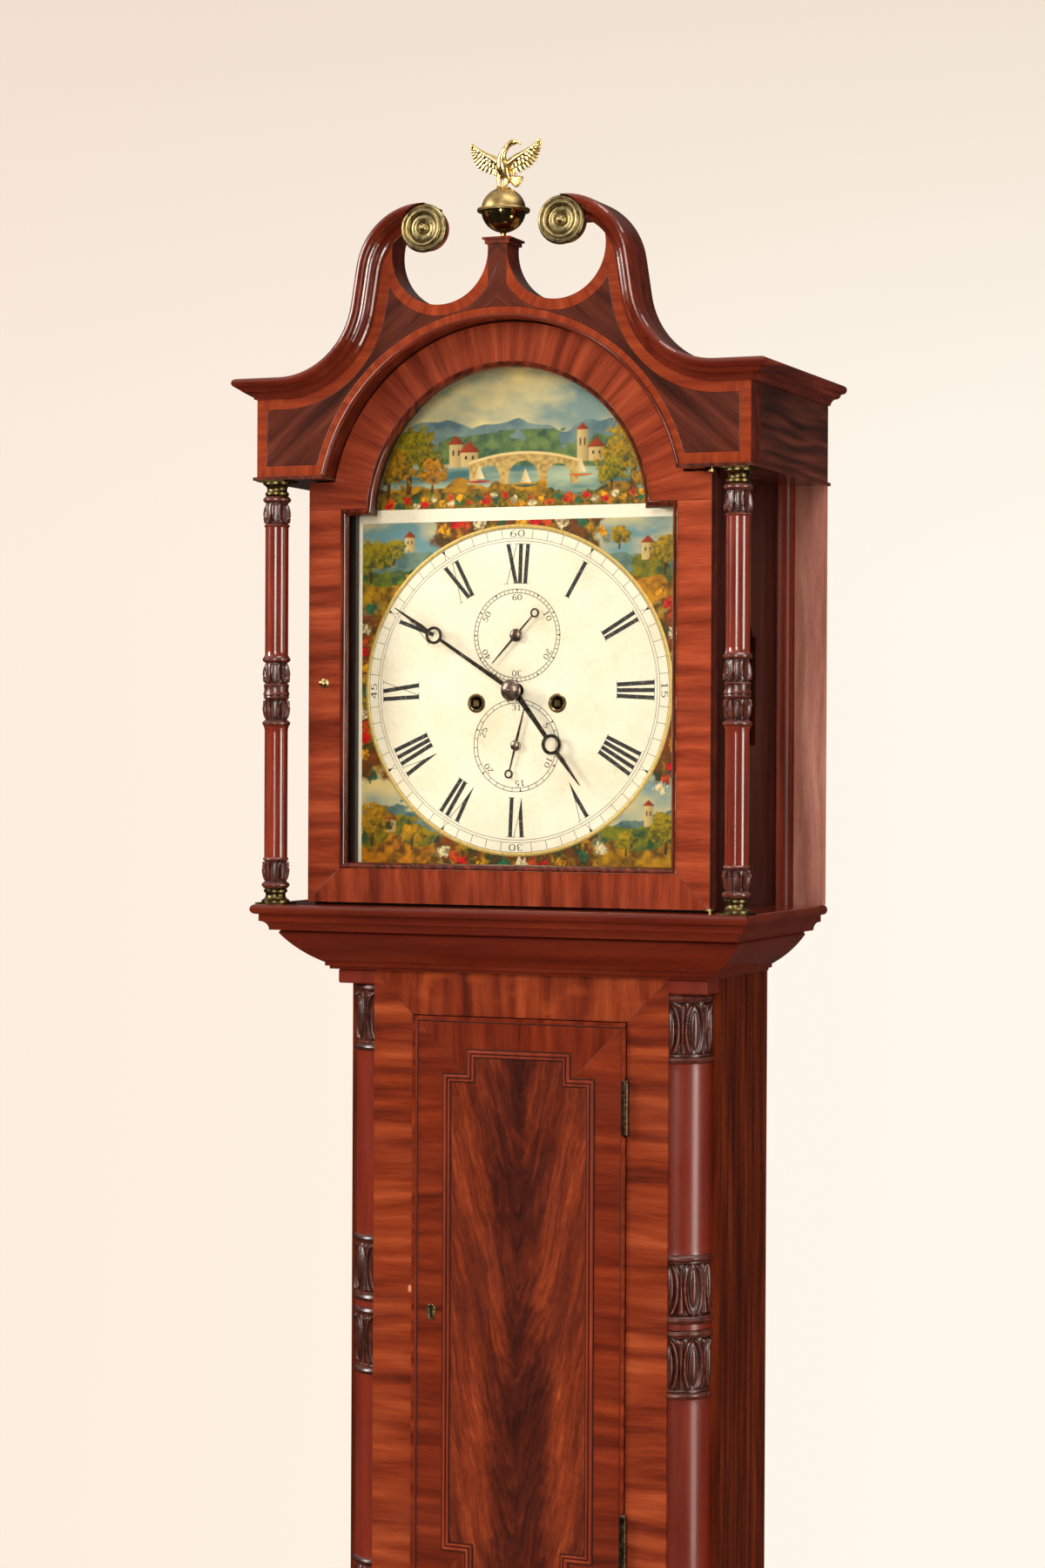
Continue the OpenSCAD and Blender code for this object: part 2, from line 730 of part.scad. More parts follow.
module hood_sides() {
    low = hood_floor + touch;
    high = soffit_z - touch;
    bead_r = 14;
    color(mahogany) both_sides() {
        difference() {
            slab([hood_inner, hood_half], [mask_y, back_y - touch], [low, high]);
            through_side(hood_inner - 1, hood_side_t + 2) window_outline(0);
            through_side(hood_inner - 1, hood_side_t - rebate) window_outline(rebate);
        }
        slab([hood_half + touch, frieze_half], [back_y - rear_stile_t, back_y - touch], [low, high]);
        translate([hood_half + touch, back_y - rear_stile_t - touch, low]) intersection() {
            cylinder(r = bead_r, h = high - low, $fn = 48);
            translate([0, -bead_r, 0]) cube([bead_r, bead_r, high - low]);
        }
    }
}

module side_glasses() {
    pane = 2;
    color(clear) both_sides() through_side(hood_half - rebate - 1 - pane - touch, pane)
        window_outline(rebate - joint_gap);
}

function swan_low_c() = [swan_low_x, cornice_z + swan_low_r];
function swan_join() = swan_low_c() + swan_low_r * [-cos(swan_lean), -sin(swan_lean)];
function swan_turn() = swan_join() + swan_straight * [-sin(swan_lean), cos(swan_lean)];
function swan_head_c() = swan_turn() - swan_head_r * [cos(swan_lean), sin(swan_lean)];
swan_end = 92;
// Points on the top edge of the swan neck, each with its outward direction
function swan_path() = concat(
    [for (i = [0:18]) let (a = 270 - (90 - swan_lean) * i / 18)
        [swan_low_c() + swan_low_r * [cos(a), sin(a)], [-cos(a), -sin(a)]]],
    [for (i = [0:16]) let (a = swan_lean + (swan_end - swan_lean) * i / 16)
        [swan_head_c() + swan_head_r * [cos(a), sin(a)], [cos(a), sin(a)]]]);
// Cornice profile as [height, projection], from its foot round the nose to its back
function cornice_profile() = let (h = cornice_h, p = cornice_out, n = 4.2) concat(
    [[0, 0], [0, 2.5], [1.8, 2.5]],
    bow([1.8, 3], [h * 0.32, p * 0.42], -1.2, 4),
    bow([h * 0.32, p * 0.42], [h - 2 * n - 0.8, p - n - 2], 1.2, 5),
    [[h - 2 * n, p - n - 1.2]],
    [for (i = [0:8]) let (a = -90 + 180 * i / 8) [h - n + n * sin(a), p - n + n * cos(a)]],
    [[h, 0]]);

module hood_frieze() {
    board = 14;
    roof_t = 5;
    vault = frieze_arch_r + slide_gap;
    side_back = back_y - touch;
    color(mahogany) {
        both_sides() slab([frieze_half - board, frieze_half], [pediment_back + touch, side_back],
            [frieze_z, cornice_z]);
        both_sides() intersection() {
            translate([frieze_half + touch, side_back, 0]) rotate([90, 0, 0]) linear_extrude(depth)
                polygon([for (q = cornice_profile()) [q[1], cornice_z - cornice_h + q[0]]]);
            linear_extrude(2 * dial_z) polygon([[frieze_half - 1, frieze_y + 1 + touch],
                [frieze_half + cornice_out + 1, nose_y - 1 + touch],
                [frieze_half + cornice_out + 1, back_y], [frieze_half - 1, back_y]]);
        }
        difference() {
            both_sides() slab([frieze_arch_half() + 1, frieze_half + 3],
                [frieze_y - 3, side_back], [soffit_z, frieze_z - touch]);
            both_sides() slab([0, hood_half - hood_side_t], [mask_y - touch, back_y], [0, frieze_z]);
            translate([hood_hinge_x(), hood_hinge_y(), soffit_z - 1])
                cylinder(r = strap_pin_r + run_gap, h = soffit_t + 2);
        }
    }
    color(pine) {
        standing(pediment_back + touch, side_back - pediment_back) difference() {
            union() {
                translate([0, arch_z]) circle(r = vault + roof_t, $fn = 96);
                translate([-frieze_half + board + touch, cornice_z - 12])
                    square([2 * (frieze_half - board - touch), 10]);
            }
            translate([0, arch_z]) circle(r = vault, $fn = 96);
            translate([-frieze_half, arch_z - 2 * vault]) square([2 * frieze_half, 2 * vault + 60]);
        }
        both_sides() slab([hood_inner + 6, frieze_half - board - touch],
            [pediment_back + touch, side_back], [frieze_z, frieze_z + 10]);
    }
}

function frieze_arch_half() = sqrt(pow(frieze_arch_r, 2) - pow(frieze_up - arch_up, 2));
eye_r = 20;

module pediment_outline() {
    eye = [rosette_x, dial_z + rosette_up];
    hole = [piercing_x, dial_z + piercing_up];
    arm_z = eye[1] + 3;
    neck_half = piercing_x - piercing_r + 0.4;
    edge = [for (q = swan_path()) q[0]];
    difference() {
        polygon(concat([[0, frieze_z], [frieze_half, frieze_z], [frieze_half, cornice_z]], edge,
            [[rosette_x, cap_z - 6], [0, cap_z - 6]]));
        translate([0, arch_z]) circle(r = frieze_arch_r, $fn = 128);
        difference() {
            union() {
                translate(hole) circle(r = piercing_r, $fn = 96);
                translate([neck_half, hole[1]]) square([hole[0] - neck_half, 80]);
            }
            translate([eye[0], arm_z]) square([80, 80]);
        }
    }
}

module pediment_board() {
    color(mahogany) {
        difference() {
            standing(frieze_y, pediment_t) {
                pediment_outline();
                mirror([1, 0]) pediment_outline();
            }
            translate([hood_hinge_x(), hood_hinge_y(), frieze_z - 1])
                cylinder(r = strap_pin_r + run_gap, h = 6);
        }
        both_sides() along_y([rosette_x, dial_z + rosette_up], eye_r, nose_y + rosette_t, frieze_y + 1);
        half = 14;
        translate([0, (frieze_y + pediment_back) / 2, cap_z]) rotate([180, 0, 0]) {
            slab([-half, half], [-pediment_t / 2 - 4, pediment_t / 2 + 4], [0, 2]);
            slab([-half + 2, half - 2], [-pediment_t / 2 - 2, pediment_t / 2 + 2], [1.9, 6]);
        }
    }
}

module swan_necks() {
    profile = cornice_profile();
    path = swan_path();
    n = len(profile);
    rings = concat(
        [[for (q = profile) [frieze_half + q[1], frieze_y - q[1], cornice_z - cornice_h + q[0]]]],
        [for (s = path) [for (q = profile)
            let (at = s[0] - (cornice_h - q[0]) * s[1]) [at[0], frieze_y - q[1], at[1]]]]);
    m = len(rings);
    color(mahogany) both_sides() difference() {
        translate([0, -touch, 0]) polyhedron(
            points = [for (r = rings) for (q = r) q],
            faces = concat(
                [[for (j = [0:n - 1]) j]],
                [for (i = [0:m - 2]) for (j = [0:n - 1]) let (k = (j + 1) % n)
                    [i * n + k, i * n + j, (i + 1) * n + j, (i + 1) * n + k]],
                [[for (j = [n - 1:-1:0]) (m - 1) * n + j]]));
        along_y([rosette_x, dial_z + rosette_up], rosette_r + touch, nose_y - 1, frieze_y + 1);
    }
}

rosette_t = 12;

module rosettes() {
    r = rosette_r;
    color(aged_brass) both_sides() translate([rosette_x, nose_y + rosette_t - touch, dial_z + rosette_up])
        rotate([90, 0, 0]) rotate_extrude($fn = 64) polygon(concat(
            [[0, 0], [r - 1.5, 0], [r - 1, 2]], arc([r - 3, 6], 3, -40, 90, 8),
            [[r - 4, 8], [r - 5, 8]], arc([r - 7, 8], 2, 0, 180, 8),
            bow([r - 9.5, 6.5], [5.5, 6], -1.6, 8), [[4.5, 7.5]], arc([0, 7.6], 4, 0, 90, 8)));
}

ball_z = cap_z + 6.2 + ball_r;
ball_flat = 70;

module finial_ball() {
    rim = ball_r + 4;
    color(brass) translate([0, (frieze_y + pediment_back) / 2, 0]) rotate_extrude($fn = 64) polygon(concat(
        [[0, cap_z + touch], [4.5, cap_z + touch], [4.5, cap_z + 1.5], [2.4, cap_z + 3], [2.4, cap_z + 5]],
        arc([0, ball_z], ball_r, -80, -6, 14),
        [[rim - 0.4, ball_z - 1.6], [rim, ball_z], [rim - 0.4, ball_z + 1.2]],
        arc([0, ball_z], ball_r, 5, ball_flat, 14), [[0, ball_z + ball_r * sin(ball_flat)]]));
}

module limb(a, b, ra, rb) {
    hull() {
        translate(a) sphere(r = ra, $fn = 10);
        translate(b) sphere(r = rb, $fn = 10);
    }
}

module finial_eagle() {
    foot = ball_z + ball_r * sin(ball_flat) + touch;
    half = eagle_span / 2;
    feathers = 6;
    color(gilt) translate([0, (frieze_y + pediment_back) / 2, foot]) {
        cylinder(r = 7, h = 1.8, $fn = 32);
        both_sides() limb([3, 0, 1.5], [4, 0, 9], 1.3, 2);
        both_sides() limb([3, 0, 1.5], [7, -3, 1.6], 1.3, 0.8);
        hull() {
            translate([0, 1, 12]) sphere(r = 4.6, $fn = 12);
            translate([0, -1, 22]) sphere(r = 7.2, $fn = 12);
            translate([0, -2, 28]) sphere(r = 4.6, $fn = 12);
        }
        limb([0, 2, 12], [5, 8, 3], 3.6, 1.6);
        limb([0, -2, 28], [5, -3, 37], 4.2, 2.6);
        limb([5, -3, 37], [12, -3, 40.5], 2.8, 2.7);
        limb([12, -3, 40.5], [18.5, -3, 39.5], 2.2, 0.7);
        for (side = [1, -1]) {
            limb([side * 4, 0, 25], [side * 17, 3, 27], 3.8, 2.4);
            for (i = [0:feathers - 1])
                let (f = i / (feathers - 1), a = 18 + 40 * f, l = 12 + 18 * sin(60 + 50 * f))
                limb([side * (10 + 7 * f), 2.5, 27],
                    [side * min(half, 17 + l * cos(a) * 1.1), 4, 23 + l * sin(a)], 1.9, 0.9);
        }
    }
}

// Hood column: radius against height, lotus collars at the ends and the middle
function leaf_collar(z, s) = let (b = hood_column_r) [
    [b + 0.8, z], [b + 2, z + s * 2], [b + 0.6, z + s * 4], [b - 1.2, z + s * 5.5], [b - 0.4, z + s * 8],
    [b + 1.6, z + s * 13], [b + 2.2, z + s * 18], [b + 1, z + s * 23], [b - 1, z + s * 25],
    [b + 0.8, z + s * 26.5], [b - 0.4, z + s * 28]];
cap_h = 15;

module hood_columns() {
    low = hood_floor + cap_h;
    high = soffit_z - cap_h;
    mid = dial_z - 1;
    shaft = hood_column_r;
    color(mahogany) both_sides() translate([hood_column_x, column_y(), 0]) rotate_extrude($fn = 48)
        polygon(concat(
            [[0, low + touch], [shaft - 1, low + touch]],
            leaf_collar(low + 1, 1),
            bow([shaft - 0.6, low + 31], [shaft, mid - 38], -0.4, 6),
            leaf_collar(mid - 33, 1),
            [[shaft + 2, mid - 3], [shaft + 0.4, mid - 1.4], [shaft + 0.4, mid + 1.4], [shaft + 2, mid + 3]],
            reversed(leaf_collar(mid + 33, -1)),
            bow([shaft, mid + 38], [shaft - 0.6, high - 31], -0.4, 6),
            reversed(leaf_collar(high - 1, -1)),
            [[shaft - 1, high - touch], [0, high - touch]]));
}

function column_y() = nose_y + 31.4;

module column_caps() {
    plate = 29.6;
    plate_up = 1.4;
    wide = 13.6;
    throat = 10;
    profile = concat([[0, 0.5], [wide, 0.5], [wide, 3.4], [wide - 1, 4]],
        bow([wide - 1.2, 4.2], [throat, 10.5], 1.4, 8),
        [[throat + 1.4, 11.4], [throat + 1.4, 13.4], [throat, cap_h], [0, cap_h]]);
    color(aged_brass) both_sides() translate([hood_column_x, column_y(), 0]) {
        for (at = [[hood_floor + touch, 0], [soffit_z - touch, 1]])
            translate([0, 0, at[0]]) mirror([0, 0, at[1]]) {
                translate([-plate / 2, -plate / 2, 0]) cube([plate, plate, plate_up]);
                rotate_extrude($fn = 48) polygon(profile);
            }
    }
}

module hood_mask() {
    color(dark_mahogany) standing(mask_y, mask_t) difference() {
        union() {
            translate([-hood_inner + touch, hood_floor + touch])
                square([2 * (hood_inner - touch), arch_z - hood_floor]);
            translate([0, arch_z]) circle(r = frieze_arch_r + slide_gap - touch, $fn = 96);
        }
        dial_outline(dial_half - 1, dial_drop - 1, 169, dial_arch_r - 1);
    }
}

// Hood door

strap_pin_r = 2;
strap_t = 2;
door_gap = 1.2;
function hood_hinge_x() = hood_door_half + 4;
function hood_hinge_y() = door_y - 10;
function hood_door_low() = hood_floor + 2.5;
function hood_door_high() = soffit_z - 1.5;

module hood_door_outline() {
    translate([-hood_door_half, hood_door_low()])
        square([2 * hood_door_half, hood_door_high() - hood_door_low()]);
    intersection() {
        translate([0, arch_z]) circle(r = frieze_arch_r - door_gap, $fn = 128);
        translate([-hood_door_half, arch_z]) square([2 * hood_door_half, 2 * frieze_arch_r]);
    }
}

door_open_drop = 170.8;
door_open_rise = 173.9;

module hood_door_opening(grow) {
    low = dial_z - door_open_drop;
    shoulder = dial_z + door_open_rise;
    translate([-door_open_half - grow, low - grow])
        square([2 * (door_open_half + grow), shoulder - low + 2 * grow]);
    translate([0, arch_z]) circle(r = door_arch_r + grow, $fn = 128);
}

glass_t = 2.5;
lip = 6.5;

module hood_door_frame() {
    color(mahogany) difference() {
        standing(door_y, hood_door_t) difference() {
            hood_door_outline();
            hood_door_opening(0);
        }
        standing(door_y + lip, hood_door_t) hood_door_opening(5);
        strap_shape(hood_door_low() - 1, strap_t + 1);
        strap_shape(hood_door_high() - strap_t, strap_t + 1);
        along_y([knob_at()[0], knob_at()[1]], 2, door_y - 1, door_y + 10);
    }
}

module hood_door_glass() {
    color(clear) standing(door_y + lip + touch, glass_t) hood_door_opening(5 - joint_gap);
}

function knob_at() = [-187.7, dial_z + 7];

module knob() {
    color(brass) translate([knob_at()[0], door_y, knob_at()[1]]) rotate([90, 0, 0]) rotate_extrude($fn = 32)
        polygon(concat([[0, -9.9], [2 - touch, -9.9], [2 - touch, touch], [4.4, touch],
            [4.4, 0.9], [1.6, 1.6], [1.6, 4]], arc([0, 6.6], 3.2, -55, 90, 10)));
}

module strap_shape(z, h) {
    reach = 46;
    translate([hood_hinge_x(), hood_hinge_y(), z]) {
        hull() {
            cylinder(r = 4.6, h = h, $fn = 32);
            translate([-9.5, 12, 0]) cylinder(r = 3, h = h, $fn = 32);
        }
        translate([-reach, 10.5, 0]) cube([reach - 4.5, 7, h]);
    }
}

module hood_door_fittings() {
    knob();
    color(aged_brass) {
        strap_shape(hood_door_low(), strap_t);
        strap_shape(hood_door_high() - strap_t, strap_t);
        translate([hood_hinge_x(), hood_hinge_y(), hood_floor - 6])
            cylinder(r = strap_pin_r, h = hood_door_low() - hood_floor + 7);
        translate([hood_hinge_x(), hood_hinge_y(), hood_door_high() - 1])
            cylinder(r = strap_pin_r, h = frieze_z - hood_door_high() + 5);
    }
}

// Trunk door

bead_w = 3.2;
bead_out = 2.4;

module trunk_door_board() {
    low = trunk_door_bottom();
    color(mahogany) difference() {
        union() {
            slab([-trunk_door_half, trunk_door_half], [trunk_y - 0.2, trunk_y - 0.2 + trunk_door_t],
                [low, low + trunk_door_h]);
            standing(trunk_y - 0.2 - bead_out, bead_out + 0.1) difference() {
                translate([-trunk_door_half, low]) square([2 * trunk_door_half, trunk_door_h]);
                translate([-trunk_door_half + bead_w, low + bead_w])
                    square([2 * (trunk_door_half - bead_w), trunk_door_h - 2 * bead_w]);
            }
        }
        for (z = hinge_bottoms()) {
            translate([hinge_x(), hinge_y(), z - 3]) cylinder(r = hinge_r + 0.5, h = hinge_len + 6);
            slab([trunk_door_half - hinge_leaf_t, trunk_door_half + 1],
                [hinge_y(), trunk_y + hinge_leaf_w], [z, z + hinge_len]);
        }
        slab([-trunk_door_half - 1, -trunk_door_half + lock_w], [trunk_y + 4, trunk_y + trunk_door_t + 1],
            [lock_z() - lock_h / 2, lock_z() + lock_h / 2]);
        along_y([key_x(), lock_z()], 5.4, trunk_y - 1, trunk_y + 5);
    }
}

function key_x() = -trunk_door_half + 19.8;
step_in = 24.8;
step_down = 24;
panel_half = 77.5;
panel_margin_z = 31.5;

module stepped_outline(inset) {
    a = panel_half - inset;
    b = panel_half - step_in - inset;
    top = trunk_door_top() - panel_margin_z - inset;
    low = trunk_door_bottom() + panel_margin_z + inset;
    polygon([[-b, top], [b, top], [b, top - step_down], [a, top - step_down], [a, low + step_down],
        [b, low + step_down], [b, low], [-b, low], [-b, low + step_down], [-a, low + step_down],
        [-a, top - step_down], [-b, top - step_down]]);
}

module trunk_door_moulding() {
    face = trunk_y - 0.2;
    color(dark_mahogany) {
        standing(face - 2.6, 2.6 - touch) difference() {
            stepped_outline(0);
            stepped_outline(2.4);
        }
        standing(face - 1.2, 1.2 - touch) difference() {
            stepped_outline(2.4);
            stepped_outline(4.6);
        }
        standing(face - 2.2, 2.2 - touch) difference() {
            stepped_outline(4.6);
            stepped_outline(6.8);
        }
    }
}

module trunk_door_hinges() {
    color(aged_brass) for (z = hinge_bottoms()) translate([hinge_x(), hinge_y(), z]) {
        knuckle_set(1, hinge_pin_r + run_gap);
        translate([-shadow_gap / 2 - hinge_leaf_t, hinge_r + 0.4, 0])
            cube([hinge_leaf_t, hinge_leaf_w, hinge_len]);
    }
}

lock_w = 52;
lock_h = 60;
bolt_h = 14;
bolt_t = 3;
bolt_throw = 7;
function bolt_y() = trunk_y + 9.5;

module trunk_door_lock() {
    inset = 0.2;
    back = trunk_y + trunk_door_t;
    edge = -trunk_door_half;
    color(aged_brass) {
        difference() {
            slab([edge + inset, edge + lock_w - inset], [trunk_y + 4 + inset, back],
                [lock_z() - lock_h / 2 + inset, lock_z() + lock_h / 2 - inset]);
            slab([edge - 1, edge + lock_w - 6], [bolt_y() - 0.1, bolt_y() + bolt_t + 0.1],
                [lock_z() - bolt_h / 2 - 0.2, lock_z() + bolt_h / 2 + 0.2]);
            along_y([key_x(), lock_z()], 1.8, trunk_y, trunk_y + 10);
        }
        difference() {
            along_y([key_x(), lock_z()], 5.2, trunk_y - 0.8, trunk_y + 3.8);
            along_y([key_x(), lock_z() + 1.5], 1.8, trunk_y - 1, trunk_y + 3);
            slab([key_x() - 0.8, key_x() + 0.8], [trunk_y - 1, trunk_y + 3],
                [lock_z() - 3.4, lock_z() + 1.5]);
        }
    }
}

module lock_bolt() {
    start = -trunk_door_half + 0.6;
    color(steel) slab([start, start + 36], [bolt_y(), bolt_y() + bolt_t],
        [lock_z() - bolt_h / 2, lock_z() + bolt_h / 2]);
}

// Wheels and pinions

// Toothed outline: teeth with a share of the pitch at the pitch circle, rounded at the tips
module toothed(teeth, m, share, above, below, turn) {
    pitch_r = m * teeth / 2;
    step = 360 / teeth;
    half = step * share / 2;
    polygon([for (i = [0:teeth - 1]) each [
        for (q = [[-half * 1.15, -below], [-half, 0], [-half * 0.45, above],
                  [half * 0.45, above], [half, 0], [half * 1.15, -below]])
            let (a = turn + i * step + q[0], r = pitch_r + q[1] * m) [r * cos(a), r * sin(a)]]]);
}

// Crossed-out wheel with four arms, centred on a point of the X-Z plane
module wheel(at, teeth, m, y, t, turn, hub) {
    root = m * teeth / 2 - 1.1 * m;
    rim = max(1.8, m * 2.2);
    arm = 2.6;
    least_window = 4;
    translate([at[0], y + t, at[1]]) rotate([90, 0, 0]) linear_extrude(t) difference() {
        toothed(teeth, m, 0.42, 0.8, 1.1, turn);
        if (root - rim - hub > least_window) difference() {
            circle(r = root - rim);
            circle(r = hub + 1.5);
            for (a = [45, 135]) rotate(a) square([2 * root, arm], center = true);
        }
    }
}

// Pinion leaves with a gap facing the wheel that drives it
module pinion(at, count, m, y, t, toward) {
    translate([at[0], y + t, at[1]]) rotate([90, 0, 0]) linear_extrude(t)
        toothed(count, m, 0.32, 0.45, 1.35, toward + 180 / count);
}

// How far an arbor's thin end goes into its plate
journal = plate_t - joint_gap;

module arbor(at, body_r, end_r, y0, y1, reach0, reach1) {
    along_y(at, body_r, y0 + 0.4, y1 - 0.4);
    along_y(at, end_r, y0 - reach0, y1 + reach1);
}

module hand(at, y, t, length, moon_at, moon_r, root_w) {
    hub = 5;
    waist = root_w * 0.32;
    neck = moon_at + moon_r - 1;
    shoulder = moon_at + moon_r + 8;
    translate([at[0], y + t, at[1]]) rotate([90, 0, 0]) linear_extrude(t) {
        circle(r = hub);
        difference() {
            union() {
                polygon([[root_w / 2, 0], [waist, moon_at], [-waist, moon_at], [-root_w / 2, 0]]);
                translate([0, moon_at]) circle(r = moon_r);
                polygon([[1.6, neck], [2.1, shoulder], [0.35, length],
                    [-0.35, length], [-2.1, shoulder], [-1.6, neck]]);
            }
            translate([0, moon_at]) circle(r = moon_r * 0.68);
        }
    }
}

// A hand set to an angle clockwise from upright
module set_hand(at, angle) {
    translate([at[0], 0, at[1]]) rotate([0, angle, 0]) translate([-at[0], 0, -at[1]]) children();
}

minute_angle = -57;
hour_angle = 143.2;
seconds_angle = 42.5;
calendar_angle = 194;
minute_y = dial_y - 12;
hour_y = dial_y - 7.5;
small_y = dial_y - 3.5;

module minute_hand() {
    color(blued) {
        set_hand(centre_at, minute_angle) hand(centre_at, minute_y, 1.4, minute_len, 97, 8.5, 4.4);
        along_y(centre_at, 2.6, minute_y - 3.2, minute_y);
        along_y(centre_at, 8.2, minute_y - 1.6, minute_y + 0.1);
    }
}

module centre_wheel() {
    y = inner_y + centre_layer;
    color(brass) {
        wheel(centre_at, centre_teeth, centre_m, y, wheel_t, heading(centre_at, third_at), 3);
        wheel(centre_at, motion_teeth, motion_m, front_plate_y - 5, 2,
            heading(centre_at, minute_wheel_at), 4);
    }
    color(steel) {
        along_y(centre_at, 2.2, minute_y + 1.4 + touch, back_plate_y - joint_gap);
        along_y(centre_at, 2, back_plate_y - 1, behind_y - joint_gap);
        pinion(centre_at, leaves, great_m, inner_y + great_layer - 3, 8, heading(centre_at, going_at));
        along_y(centre_at, 2.9, minute_y + 2, inner_y + 5);
    }
}

module hour_hand() {
    color(blued) difference() {
        set_hand(centre_at, hour_angle) hand(centre_at, hour_y, 1.6, hour_len, 64, 9.8, 5.6);
        along_y(centre_at, pipe_r - 0.9, hour_y - 1, hour_y + 3);
    }
    color(brass) difference() {
        union() {
            along_y(centre_at, pipe_r, hour_y + 0.2, front_plate_y - 9);
            wheel(centre_at, hour_teeth, hour_m, front_plate_y - 11, 2,
                heading(centre_at, minute_wheel_at), 5);
        }
        along_y(centre_at, 2.95, hour_y - 1, front_plate_y);
    }
}

module minute_wheel() {
    toward = heading(minute_wheel_at, centre_at);
    color(brass) translate([minute_wheel_at[0], front_plate_y - 3, minute_wheel_at[1]]) rotate([90, 0, 0])
        linear_extrude(2) toothed(motion_teeth, motion_m, 0.42, 0.8, 1.1, toward + 180 / motion_teeth);
    color(steel) {
        pinion(minute_wheel_at, hour_pinion, hour_m, front_plate_y - 12, 8, toward);
        along_y(minute_wheel_at, 1, front_plate_y - 14, inner_y - joint_gap);
    }
}

module third_wheel() {
    color(brass) wheel(third_at, third_teeth, third_m, inner_y + third_layer, wheel_t,
        heading(third_at, seconds_at), 2);
    color(steel) {
        arbor(third_at, arbor_r, 1, inner_y, back_plate_y, journal, journal);
        pinion(third_at, leaves, centre_m, inner_y + centre_layer - 1.5, 6, heading(third_at, centre_at));
    }
}

escape_r = 15.5;

module escape_wheel() {
    y = inner_y + escape_layer;
    depth_of_tooth = 3.2;
    step = 360 / escape_teeth;
    color(brass) translate([seconds_at[0], y + 1.6, seconds_at[1]]) rotate([90, 0, 0]) linear_extrude(1.6)
        difference() {
            polygon([for (i = [0:escape_teeth - 1]) each [
                (escape_r - depth_of_tooth) * [cos(-i * step), sin(-i * step)],
                escape_r * [cos(-i * step - 3.5), sin(-i * step - 3.5)],
                escape_r * [cos(-i * step - 4.6), sin(-i * step - 4.6)],
                (escape_r - depth_of_tooth) * [cos(-i * step - 7), sin(-i * step - 7)]]]);
            difference() {
                circle(r = escape_r - depth_of_tooth - 1.8);
                circle(r = 3.4);
                for (a = [0, 90]) rotate(a) square([2 * escape_r, 2], center = true);
            }
        }
    color(steel) {
        arbor(seconds_at, arbor_r, 1, inner_y, back_plate_y, 0, journal);
        along_y(seconds_at, arbor_r, small_y + 1 + touch, inner_y + 1);
        pinion(seconds_at, leaves, third_m, inner_y + third_layer - 3, 8, heading(seconds_at, third_at));
    }
}

// Hand of a small dial: a ring on the short arm, the long arm pointing at the angle's far side
module small_hand(at, angle, hub, ring_at, ring_r, pointer) {
    root = 1.3;
    tip = 0.35;
    color(blued) set_hand(at, angle)
        translate([at[0], small_y + 1, at[1]]) rotate([90, 0, 0]) linear_extrude(0.9) {
            circle(r = hub);
            difference() {
                union() {
                    polygon([[0.9, 0], [0.5, ring_at - 2.5], [-0.5, ring_at - 2.5], [-0.9, 0]]);
                    translate([0, ring_at]) circle(r = ring_r);
                    polygon([[-root, 0], [-tip, -pointer], [tip, -pointer], [root, 0]]);
                }
                translate([0, ring_at]) circle(r = ring_r - 1.5);
            }
        }
}

module seconds_hand() {
    small_hand(seconds_at, seconds_angle, 5.4, 28.5, 4.4, 36);
}

module calendar_hand() {
    at = [0, dial_z - calendar_drop];
    small_hand(at, calendar_angle, 4.8, 28, 4.2, 38);
    color(brass) {
        along_y(at, arbor_r, small_y + 1 + touch, dial_y + dial_t + 3);
        translate([at[0], dial_y + dial_t + 2.3, at[1]]) rotate([90, 0, 0]) linear_extrude(1.5)
            toothed(31, 0.9, 0.5, 0.5, 0.9, 0);
    }
}

anchor_swing = 4;

module anchor() {
    y = inner_y + escape_layer - 1;
    rise = anchor_at[1] - seconds_at[1];
    pallet_t = 4;
    arm = [[4, 4], [19.5, -8], [19, -19.6], [15, -19], [14.6, -9.4], [5, -3.5]];
    crutch_y = behind_y + 4;
    fork_z = anchor_at[1] - 115;
    fork_t = 4;
    slot = rod_r + joint_gap;
    color(steel) {
        along_y(anchor_at, 1.5, front_plate_y + joint_gap, behind_y + 3);
        along_y(anchor_at, 1, behind_y + 2, pendulum_y - 7.2);
        translate([0, y + pallet_t, anchor_at[1]]) rotate([90, 0, 0]) linear_extrude(pallet_t) difference() {
            polygon(concat(arm, reversed([for (q = arm) [-q[0], q[1]]])));
            for (a = [-anchor_swing, 0, anchor_swing]) rotate(a) translate([0, -rise])
                circle(r = escape_r + 0.4);
        }
        along_y(anchor_at, 3.2, crutch_y - 0.4, crutch_y + 3.4);
        slab([-1.5, 1.5], [crutch_y, crutch_y + 3], [fork_z + fork_t - 1, anchor_at[1]]);
        difference() {
            slab([-6, 6], [crutch_y, pendulum_y + 5], [fork_z, fork_z + fork_t]);
            slab([-slot, slot], [pendulum_y - rod_r - 1, pendulum_y + 6], [fork_z - 1, fork_z + fork_t + 1]);
        }
    }
}

rod_r = 2.5;

module pendulum_rod() {
    low = anchor_at[1] - pendulum_len - bob_r - 22;
    clip_z = anchor_at[1] - 34;
    clip_h = 12;
    cheek_y = [pendulum_y - 4, pendulum_y + 4];
    color(steel) {
        slab([-0.3, 0.3], [pendulum_y - 3.5, pendulum_y + 3.5], [clip_z + clip_h / 2, anchor_at[1] + 8]);
        slab([-3.5, 3.5], cheek_y, [clip_z, clip_z + clip_h]);
        slab([-3, 3], cheek_y, [anchor_at[1] + 6.6, anchor_at[1] + 11]);
        translate([0, pendulum_y, low]) cylinder(r = rod_r, h = clip_z + 4 - low);
    }
}

